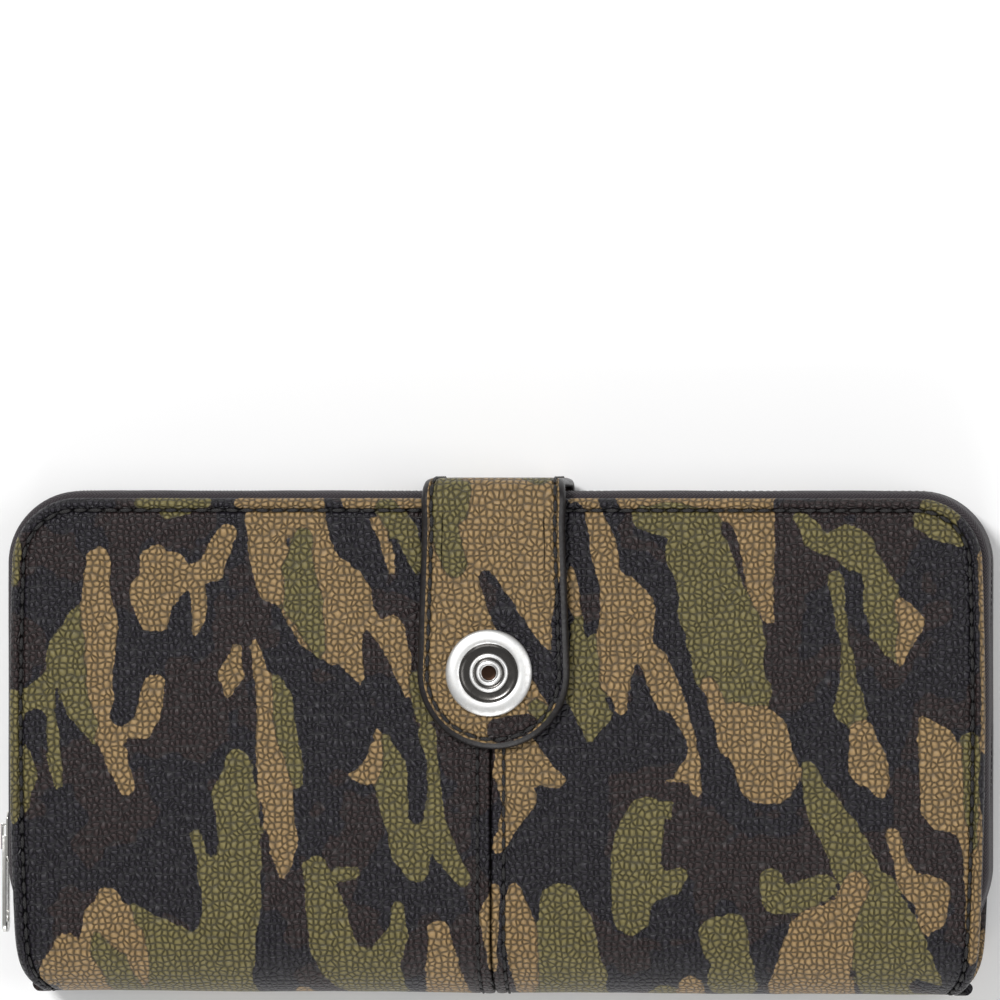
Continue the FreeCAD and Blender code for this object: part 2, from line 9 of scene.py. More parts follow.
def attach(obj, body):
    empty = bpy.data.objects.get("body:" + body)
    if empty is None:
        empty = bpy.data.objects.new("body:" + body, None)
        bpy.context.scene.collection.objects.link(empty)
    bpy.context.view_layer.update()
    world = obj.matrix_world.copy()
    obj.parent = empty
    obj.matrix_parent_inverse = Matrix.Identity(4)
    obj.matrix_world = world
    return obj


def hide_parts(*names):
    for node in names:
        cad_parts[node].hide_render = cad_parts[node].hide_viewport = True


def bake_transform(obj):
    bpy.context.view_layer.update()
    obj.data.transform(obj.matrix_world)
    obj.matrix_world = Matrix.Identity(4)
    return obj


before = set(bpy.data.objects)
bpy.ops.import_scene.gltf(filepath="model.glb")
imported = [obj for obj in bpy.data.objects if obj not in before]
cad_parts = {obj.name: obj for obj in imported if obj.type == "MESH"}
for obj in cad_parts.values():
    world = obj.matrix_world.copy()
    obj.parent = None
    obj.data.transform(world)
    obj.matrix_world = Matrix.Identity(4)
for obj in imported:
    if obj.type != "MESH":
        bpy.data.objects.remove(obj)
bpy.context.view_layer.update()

mm = 0.001

# A zip-round camouflage wallet lying on its back cover, with a snap strap over the zip.
# Sizes are in millimetres here and become metres when a mesh is made.

cover = {
    "spineY": -36.5,        # where the flat cover starts to roll round the spine
    "topY": 49.0,
    "spineRadius": 12.5,
    "thickness": 25.0,
    "halfWidth": 96.7,
    "barrel": 1.2,          # how much the sides draw in towards the corners
    "spinePinch": 3.0,      # and at the folded spine
    "cornerRadius": 13.0,
    "seamX": -0.8,
    "leather": 1.3,
    "stitchInset": 2.4,
    "topstitch": 2.6,
    "waves": [(0.09, 34, 3), (0.04, 13, 5)],    # height, length and seed of the skin's unevenness
}
halfArc = cover["spineRadius"] * math.pi / 2
skinTop = halfArc + cover["topY"] - cover["spineY"]     # unrolled distance from mid spine to the zipped edge


# helpers

def tint(red, green, blue):
    def linear(c):
        c = c / 255
        return c / 12.92 if c <= 0.04045 else ((c + 0.055) / 1.055) ** 2.4
    return (linear(red), linear(green), linear(blue), 1.0)


def makePiece(name, points, faces, materials, tags=None, uv=None, fields=None, smooth=50, recalc=True):
    mesh = bpy.data.meshes.new(name)
    mesh.from_pydata((np.asarray(points, float) * mm).tolist(), [], [list(map(int, f)) for f in faces])
    if tags is not None:
        mesh.polygons.foreach_set("material_index", np.asarray(tags, np.int32))
    if uv is not None:
        layer = mesh.uv_layers.new(name="skinMap")
        corner = np.zeros(len(mesh.loops), np.int32)
        mesh.loops.foreach_get("vertex_index", corner)
        layer.data.foreach_set("uv", (np.asarray(uv, float) * mm)[corner].astype(np.float32).ravel())
    for key, values in (fields or {}).items():
        mesh.attributes.new(key, "FLOAT", "POINT").data.foreach_set("value", np.asarray(values, np.float32))
    for material in materials:
        mesh.materials.append(material)
    if recalc:
        work = bmesh.new()
        work.from_mesh(mesh)
        bmesh.ops.recalc_face_normals(work, faces=work.faces)
        work.to_mesh(mesh)
        work.free()
    mesh.polygons.foreach_set("use_smooth", np.ones(len(mesh.polygons), bool))
    mesh.set_sharp_from_angle(angle=math.radians(smooth))
    mesh.update()
    piece = bpy.data.objects.new(name, mesh)
    bpy.context.scene.collection.objects.link(piece)
    return piece


def mount(piece, body, source):
    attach(piece, body)
    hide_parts(source)


def sweptFaces(rows, count):
    # quads between neighbouring sections of a closed profile, and the two end caps
    faces = []
    for i in range(rows - 1):
        for j in range(count):
            k = (j + 1) % count
            faces.append((i * count + j, (i + 1) * count + j, (i + 1) * count + k, i * count + k))
    return faces + [tuple(range(count)), tuple((rows - 1) * count + j for j in range(count))[::-1]]


def lengthAlong(profile):
    return np.concatenate([[0], np.cumsum(np.linalg.norm(np.diff(profile, axis=0), axis=1))])


def ripple(x, y, size, seed):
    # smooth unevenness of about -1 to 1, from a few crossing waves
    waves = np.random.default_rng(seed)
    total = np.zeros_like(np.asarray(x, float))
    for _ in range(6):
        angle, phase = waves.uniform(0, 6.28, 2)
        k = 6.28 / (size * waves.uniform(0.7, 1.6))
        total = total + np.sin(k * (x * math.cos(angle) + y * math.sin(angle)) + phase)
    return total / 3.5


def wrapSkin(x, v, h):
    # x along the wallet, v unrolled from mid spine (front +, back -), h outwards
    x, v, h = (np.asarray(a, float) for a in (x, v, h))
    turn = np.clip(v / cover["spineRadius"], -math.pi / 2, math.pi / 2)
    beyond = np.maximum(np.abs(v) - halfArc, 0)
    reach = cover["spineRadius"] + h
    return np.stack([x, cover["spineY"] - reach * np.cos(turn) + beyond,
                     cover["spineRadius"] + reach * np.sin(turn)], 1)


def fillLoop(loop, grid, margin):
    # triangles that fill a closed outline, with the grid points that stay clear of it
    loop, grid = np.asarray(loop, float), np.asarray(grid, float).reshape(-1, 2)
    after = np.roll(loop, -1, 0)
    keep = np.zeros(len(grid), bool)
    for start in range(0, len(grid), 2000):
        block = grid[start:start + 2000]
        edge = after - loop
        rel = block[:, None, :] - loop[None]
        along = np.clip((rel * edge).sum(2) / np.maximum((edge ** 2).sum(1), 1e-12), 0, 1)
        near = np.sqrt(((rel - along[..., None] * edge) ** 2).sum(2)).min(1)
        crosses = (loop[:, 1] > block[:, 1:2]) != (after[:, 1] > block[:, 1:2])
        rise = np.where(np.abs(edge[:, 1]) < 1e-12, 1e-12, edge[:, 1])
        hit = block[:, 0:1] < (block[:, 1:2] - loop[:, 1]) * edge[:, 0] / rise + loop[:, 0]
        keep[start:start + 2000] = ((crosses & hit).sum(1) % 2 == 1) & (near > margin)
    grid = grid[keep]
    everything = np.vstack([loop, grid])
    count = len(loop)
    ring = [(i, (i + 1) % count) for i in range(count)]
    found = delaunay_2d_cdt([Vector(p) for p in everything], ring, [], 1, 1e-7, True)
    first = [ids[0] for ids in found[3]]
    return grid, [[first[i] for i in face] for face in found[2]]


# a panel with a worked edge: rows follow the rim from the face, over the edge, to the underside
def edgedPanel(path, inward, profile, sides, faceGrid, underGrid, faceHeight, underHeight, margin=0.35):
    path, inward = np.asarray(path, float), np.asarray(inward, float)
    n, rows = len(path), len(profile)
    run = np.concatenate([[0], np.cumsum([math.hypot(b[0] - a[0], b[1] - a[1])
                                          for a, b in zip(profile, profile[1:])])])
    flat, heights, uv = [], [], []
    for (d, h), r in zip(profile, run):
        flat.append(path + inward * d)
        heights.append(np.full(n, h))
        uv.append(path + inward * (profile[0][0] - r))
    flat, heights, uv = np.vstack(flat), np.concatenate(heights), np.vstack(uv)
    faces, tags = [], []
    closed = not sides
    for row in range(rows - 1):
        for i in range(n if closed else n - 1):
            j = (i + 1) % n
            faces.append((row * n + i, row * n + j, (row + 1) * n + j, (row + 1) * n + i))
            tags.append(row)
    zone = list(np.arange(rows).repeat(n))      # the profile row of each point, -1 on the face, -2 underneath

    def cap(row, sidePoints, grid, height):
        nonlocal flat, heights, uv, zone
        start = len(flat)
        extra = np.array([p for side in sidePoints for p in side], float).reshape(-1, 2)
        loop = np.vstack([flat[row * n:(row + 1) * n], extra])
        inner, triangles = fillLoop(loop, grid, margin)
        flat = np.vstack([flat, extra, inner])
        heights = np.concatenate([heights, height(extra), height(inner)])
        uv = np.vstack([uv, extra, inner])
        zone += [-1 if row == 0 else -2] * (len(extra) + len(inner))
        local = list(range(row * n, (row + 1) * n)) + list(range(start, start + len(extra) + len(inner)))
        return start, [[local[i] for i in t] for t in triangles]

    faceSides = [[tuple(p) for p in side] for side in sides]
    topStart, triangles = cap(0, faceSides, faceGrid, faceHeight)
    faces += triangles
    tags += [-1] * len(triangles)
    bottomStart, triangles = cap(rows - 1, faceSides, underGrid, underHeight)
    faces += [t[::-1] for t in triangles]
    tags += [-2] * len(triangles)
    if sides:
        lengths = [len(s) for s in faceSides]
        top = list(range(topStart, topStart + sum(lengths)))
        bottom = list(range(bottomStart, bottomStart + sum(lengths)))
        endColumn = [row * n + n - 1 for row in range(rows)]
        startColumn = [row * n for row in range(rows)]
        cut = lengths[0]
        if len(sides) == 1:
            faces.append(endColumn + bottom + startColumn[::-1] + top[::-1])
            tags.append(-3)
        else:       # the first side ends on its corner point, which the second side shares
            faces.append(endColumn + bottom[:cut] + top[:cut][::-1])
            faces.append([top[cut - 1]] + [bottom[cut - 1]] + bottom[cut:] +
                         startColumn[::-1] + top[cut:][::-1])
            tags += [-3, -3]
    return flat, heights, uv, faces, np.array(tags), np.array(zone)


# materials

def newFinish(name):
    material = bpy.data.materials.new(name)
    material.use_nodes = True
    tree = material.node_tree
    tree.nodes.clear()
    output = tree.nodes.new("ShaderNodeOutputMaterial")
    shader = tree.nodes.new("ShaderNodeBsdfPrincipled")
    tree.links.new(shader.outputs[0], output.inputs[0])
    return material, tree, shader


def node(tree, kind, inputs=None, **settings):
    made = tree.nodes.new(kind)
    for key, value in settings.items():
        setattr(made, key, value)
    for key, value in (inputs or {}).items():
        socket = made.inputs[key]
        if isinstance(value, bpy.types.NodeSocket):
            tree.links.new(value, socket)
        else:
            socket.default_value = value
    return made


def maths(tree, operation, a, b=0.0, c=0.0, clamp=False):
    return node(tree, "ShaderNodeMath", {0: a, 1: b, 2: c}, operation=operation, use_clamp=clamp).outputs[0]


def blendColour(tree, factor, a, b, how="MIX"):
    made = node(tree, "ShaderNodeMix", {0: factor, 6: a, 7: b}, data_type="RGBA", blend_type=how)
    return made.outputs[2]


def ramp(tree, value, low, high, toLow=0.0, toHigh=1.0, smooth=True):
    return node(tree, "ShaderNodeMapRange", {0: value, 1: low, 2: high, 3: toLow, 4: toHigh},
                interpolation_type="SMOOTHSTEP" if smooth else "LINEAR").outputs[0]


def mapMillimetres(tree):
    skin = node(tree, "ShaderNodeUVMap", uv_map="skinMap").outputs[0]
    return node(tree, "ShaderNodeVectorMath", {0: skin, 3: 1000.0}, operation="SCALE").outputs[0]


def objectMillimetres(tree):
    place = node(tree, "ShaderNodeTexCoord").outputs["Object"]
    return node(tree, "ShaderNodeVectorMath", {0: place, 3: 1000.0}, operation="SCALE").outputs[0]


# grain: cell size, bump depth, painted shade in the crevices, a painted highlight on each dome's crown
# (lift), and the dome's shape
grain = {"cell": 1.26, "depth": 0.0003, "creviceShade": 0.3, "lift": 1.2, "valley": 0.24, "domeFrom": 0.12,
         "domeTo": 0.72}


def pebble(tree, place, cell, dims="2D"):
    # domed grain cells with a crevice between them, which the leathers darken with painted shade
    wander = node(tree, "ShaderNodeTexNoise", {"Vector": place, "Scale": 0.35, "Detail": 1.0},
                  noise_dimensions=dims).outputs["Color"]
    wander = node(tree, "ShaderNodeVectorMath", {0: wander, 3: 0.9}, operation="SCALE").outputs[0]
    place = node(tree, "ShaderNodeVectorMath", {0: place, 1: wander}, operation="ADD").outputs[0]
    each = node(tree, "ShaderNodeTexVoronoi", {"Vector": place, "Scale": 1 / cell, "Randomness": 0.68},
                voronoi_dimensions=dims, feature="F1")
    gap = node(tree, "ShaderNodeTexVoronoi", {"Vector": place, "Scale": 1 / cell, "Randomness": 0.68},
               voronoi_dimensions=dims, feature="DISTANCE_TO_EDGE").outputs["Distance"]
    crown = ramp(tree, each.outputs["Distance"], grain["domeFrom"], grain["domeTo"], 1.0, 0.35)
    dome = maths(tree, "MULTIPLY", crown, ramp(tree, gap, 0.0, grain["valley"]))
    return dome, each.outputs["Color"], each.outputs["Distance"]


camouflage = {
    "tan": tint(151, 125, 87), "tanDeep": tint(138, 113, 76),
    "green": tint(114, 105, 66), "greenDeep": tint(103, 95, 58),
    "navy": tint(30, 27, 34), "brown": tint(44, 33, 33),
}


def camouflageLeather():
    material, tree, shader = newFinish("camouflageLeather")
    place = mapMillimetres(tree)
    dome, cellColour, cellDistance = pebble(tree, place, grain["cell"])
    slow = node(tree, "ShaderNodeTexNoise",
                {"Vector": place, "Scale": 0.22, "Detail": 3.0, "Roughness": 0.6},
                noise_dimensions="2D").outputs["Fac"]
    quick = node(tree, "ShaderNodeTexNoise", {"Vector": place, "Scale": 1.1, "Detail": 2.0},
                 noise_dimensions="2D").outputs["Fac"]
    wobble = maths(tree, "MULTIPLY_ADD", maths(tree, "SUBTRACT", slow, 0.5), 1.6,
                   maths(tree, "MULTIPLY_ADD", quick, 0.4, -0.05))
    light = node(tree, "ShaderNodeAttribute", attribute_name="lightField").outputs["Fac"]
    warm = node(tree, "ShaderNodeAttribute", attribute_name="tanField").outputs["Fac"]
    light = maths(tree, "ADD", light, wobble)
    warm = maths(tree, "ADD", warm, wobble)
    isLight = ramp(tree, light, -0.12, 0.12)
    isTan = ramp(tree, warm, -0.12, 0.12)
    patch = node(tree, "ShaderNodeTexNoise",
                 {"Vector": place, "Scale": 0.045, "Detail": 3.0, "Roughness": 0.55},
                 noise_dimensions="2D").outputs["Fac"]
    isBrown = ramp(tree, patch, 0.515, 0.53)
    mottle = node(tree, "ShaderNodeTexNoise", {"Vector": place, "Scale": 0.12, "Detail": 4.0},
                  noise_dimensions="2D").outputs["Fac"]
    darkColour = blendColour(tree, isBrown, camouflage["navy"], camouflage["brown"])
    tanColour = blendColour(tree, mottle, camouflage["tanDeep"], camouflage["tan"])
    greenColour = blendColour(tree, mottle, camouflage["greenDeep"], camouflage["green"])
    lightColour = blendColour(tree, isTan, greenColour, tanColour)
    # a printed outline where tan meets green
    border = ramp(tree, maths(tree, "ABSOLUTE", warm), 0.0, 0.28, 0.55, 0.0)
    lightColour = blendColour(tree, border, lightColour, camouflage["brown"])
    colour = blendColour(tree, isLight, darkColour, lightColour)
    fleck = node(tree, "ShaderNodeSeparateColor", {0: cellColour}).outputs[0]
    cellToneAndShade = ramp(tree, fleck, 0.0, 1.0, 0.9, 1.1, smooth=False)
    # painted shade: the colour darkens towards the crevices between grain cells, on top of each cell's random
    # tone
    shade = ramp(tree, dome, 0.0, 0.8, grain["creviceShade"], 1.0, smooth=False)
    cellToneAndShade = maths(tree, "MULTIPLY", cellToneAndShade, shade)
    # painted highlight: each grain dome's centre is lightened, as if catching the light
    crown = ramp(tree, cellDistance, 0.0, 0.32, grain["lift"], 1.0)
    cellToneAndShade = maths(tree, "MULTIPLY", cellToneAndShade, crown)
    # painted shade: the leather darkens along the stitch grooves and the centre seam
    grooveShade = node(tree, "ShaderNodeAttribute", attribute_name="grooveShadeField").outputs["Fac"]
    cellToneAndShade = maths(tree, "MULTIPLY", cellToneAndShade, ramp(tree, grooveShade, 0.1, 0.9, 1.0, 0.16))
    colour = node(tree, "ShaderNodeVectorMath", {0: colour, 3: cellToneAndShade}, operation="SCALE").outputs[0]
    fine = node(tree, "ShaderNodeTexNoise", {"Vector": place, "Scale": 9.0, "Detail": 2.0},
                noise_dimensions="2D").outputs["Fac"]
    height = maths(tree, "MULTIPLY_ADD", fine, 0.12, dome)
    bump = node(tree, "ShaderNodeBump", {"Strength": 1.0, "Distance": grain["depth"], "Height": height})
    rough = ramp(tree, fine, 0.3, 0.7, 0.34, 0.46)
    tree.links.new(colour, shader.inputs["Base Color"])
    tree.links.new(rough, shader.inputs["Roughness"])
    tree.links.new(bump.outputs[0], shader.inputs["Normal"])
    shader.inputs["Specular IOR Level"].default_value = 0.32
    return material


def plainLeather(name, base, deep, cell, depth, rough=0.5):
    # a one-colour leather, its grain in the piece's own space
    material, tree, shader = newFinish(name)
    place = objectMillimetres(tree)
    dome = pebble(tree, place, cell, "3D")[0]
    cloudy = node(tree, "ShaderNodeTexNoise", {"Vector": place, "Scale": 0.08, "Detail": 4.0}).outputs["Fac"]
    colour = blendColour(tree, ramp(tree, cloudy, 0.35, 0.65), deep, base)
    # painted shade: the colour darkens towards the grain crevices
    colour = node(tree, "ShaderNodeVectorMath",
                  {0: colour, 3: ramp(tree, dome, 0.0, 0.9, 0.7, 1.0)}, operation="SCALE").outputs[0]
    fine = node(tree, "ShaderNodeTexNoise", {"Vector": place, "Scale": 7.0, "Detail": 2.0}).outputs["Fac"]
    height = maths(tree, "MULTIPLY_ADD", fine, 0.15, dome)
    bump = node(tree, "ShaderNodeBump", {"Strength": 0.6, "Distance": depth, "Height": height})
    tree.links.new(colour, shader.inputs["Base Color"])
    tree.links.new(ramp(tree, fine, 0.3, 0.7, rough - 0.06, rough + 0.08), shader.inputs["Roughness"])
    tree.links.new(bump.outputs[0], shader.inputs["Normal"])
    return material


def edgePaint():
    material, tree, shader = newFinish("edgePaint")
    place = objectMillimetres(tree)
    lumps = node(tree, "ShaderNodeTexNoise", {"Vector": place, "Scale": 1.6, "Detail": 3.0}).outputs["Fac"]
    wear = ramp(tree, lumps, 0.55, 0.75)
    colour = blendColour(tree, wear, tint(26, 23, 24), tint(48, 43, 42))
    bump = node(tree, "ShaderNodeBump", {"Strength": 0.5, "Distance": 0.0001, "Height": lumps})
    tree.links.new(colour, shader.inputs["Base Color"])
    tree.links.new(ramp(tree, lumps, 0.3, 0.7, 0.3, 0.48), shader.inputs["Roughness"])
    tree.links.new(bump.outputs[0], shader.inputs["Normal"])
    return material


def threadFinish(name, base, deep):
    material, tree, shader = newFinish(name)
    place = objectMillimetres(tree)
    twist = node(tree, "ShaderNodeTexWave",
                 {"Vector": place, "Scale": 1.1, "Distortion": 1.5, "Detail": 1.0},
                 bands_direction="DIAGONAL").outputs["Fac"]
    colour = blendColour(tree, twist, deep, base)
    bump = node(tree, "ShaderNodeBump", {"Strength": 0.7, "Distance": 0.00008, "Height": twist})
    tree.links.new(colour, shader.inputs["Base Color"])
    tree.links.new(ramp(tree, twist, 0.0, 1.0, 0.7, 0.5), shader.inputs["Roughness"])
    tree.links.new(bump.outputs[0], shader.inputs["Normal"])
    shader.inputs["Sheen Weight"].default_value = 0.05
    return material


def wovenTape(name, base, deep):
    # herringbone: diagonal ribs whose slant turns over every rib band
    material, tree, shader = newFinish(name)
    place = mapMillimetres(tree)
    parts = node(tree, "ShaderNodeSeparateXYZ", {0: place})
    along, across = parts.outputs[0], parts.outputs[1]
    zigzag = maths(tree, "PINGPONG", across, 1.3)
    slant = maths(tree, "ADD", along, zigzag)
    rib = maths(tree, "SINE", maths(tree, "MULTIPLY", slant, 2 * math.pi / 0.7))
    rib = ramp(tree, rib, -1.0, 1.0)
    fuzz = node(tree, "ShaderNodeTexNoise", {"Vector": place, "Scale": 5.0, "Detail": 3.0},
                noise_dimensions="2D").outputs["Fac"]
    colour = blendColour(tree, maths(tree, "MULTIPLY", rib, fuzz), deep, base)
    height = maths(tree, "MULTIPLY_ADD", fuzz, 0.4, rib)
    bump = node(tree, "ShaderNodeBump", {"Strength": 0.8, "Distance": 0.00015, "Height": height})
    tree.links.new(colour, shader.inputs["Base Color"])
    tree.links.new(ramp(tree, fuzz, 0.3, 0.7, 0.75, 0.9), shader.inputs["Roughness"])
    tree.links.new(bump.outputs[0], shader.inputs["Normal"])
    shader.inputs["Sheen Weight"].default_value = 0.1
    return material


def metalFinish(name, base, rough, scratches=0.3):
    material, tree, shader = newFinish(name)
    place = objectMillimetres(tree)
    haze = node(tree, "ShaderNodeTexNoise", {"Vector": place, "Scale": 0.9, "Detail": 5.0}).outputs["Fac"]
    hair = node(tree, "ShaderNodeTexNoise", {"Vector": place, "Scale": 14.0, "Detail": 2.0}).outputs["Fac"]
    worn = (base[0] * 0.82, base[1] * 0.81, base[2] * 0.8, 1.0)
    colour = blendColour(tree, ramp(tree, haze, 0.4, 0.7), base, worn)
    bump = node(tree, "ShaderNodeBump", {"Strength": scratches, "Distance": 0.00001, "Height": hair})
    tree.links.new(colour, shader.inputs["Base Color"])
    tree.links.new(ramp(tree, haze, 0.3, 0.75, rough, rough + 0.12), shader.inputs["Roughness"])
    tree.links.new(bump.outputs[0], shader.inputs["Normal"])
    shader.inputs["Metallic"].default_value = 1.0
    return material


camoFinish = camouflageLeather()
edgeFinish = edgePaint()
strapBack = plainLeather("strapLining", tint(60, 48, 42), tint(46, 37, 34), 0.9, 0.00006)
hemFinish = plainLeather("turnedEdge", tint(58, 50, 44), tint(44, 38, 36), 1.0, 0.00008)
threadDark = threadFinish("stitchThread", tint(20, 16, 17), tint(8, 7, 8))
tapeFinish = wovenTape("zipTapeCloth", tint(70, 59, 65), tint(28, 23, 27))
teethFinish = threadFinish("coilTeeth", tint(56, 48, 53), tint(22, 18, 21))
nickel = metalFinish("polishedNickel", (0.89, 0.89, 0.88, 1.0), 0.4)
# a darkened copy of the nickel: painted dark reflection and shade for the snap cap's dish and the rivet's
# ring groove
paintedShadeNickel = metalFinish("shadedNickel", (0.11, 0.105, 0.1, 1.0), 0.2)
rivetBrown = metalFinish("rivetHollow", tint(52, 38, 30), 0.4)
print("finishes ready")


# the camouflage print, as smooth fields that the leather reads

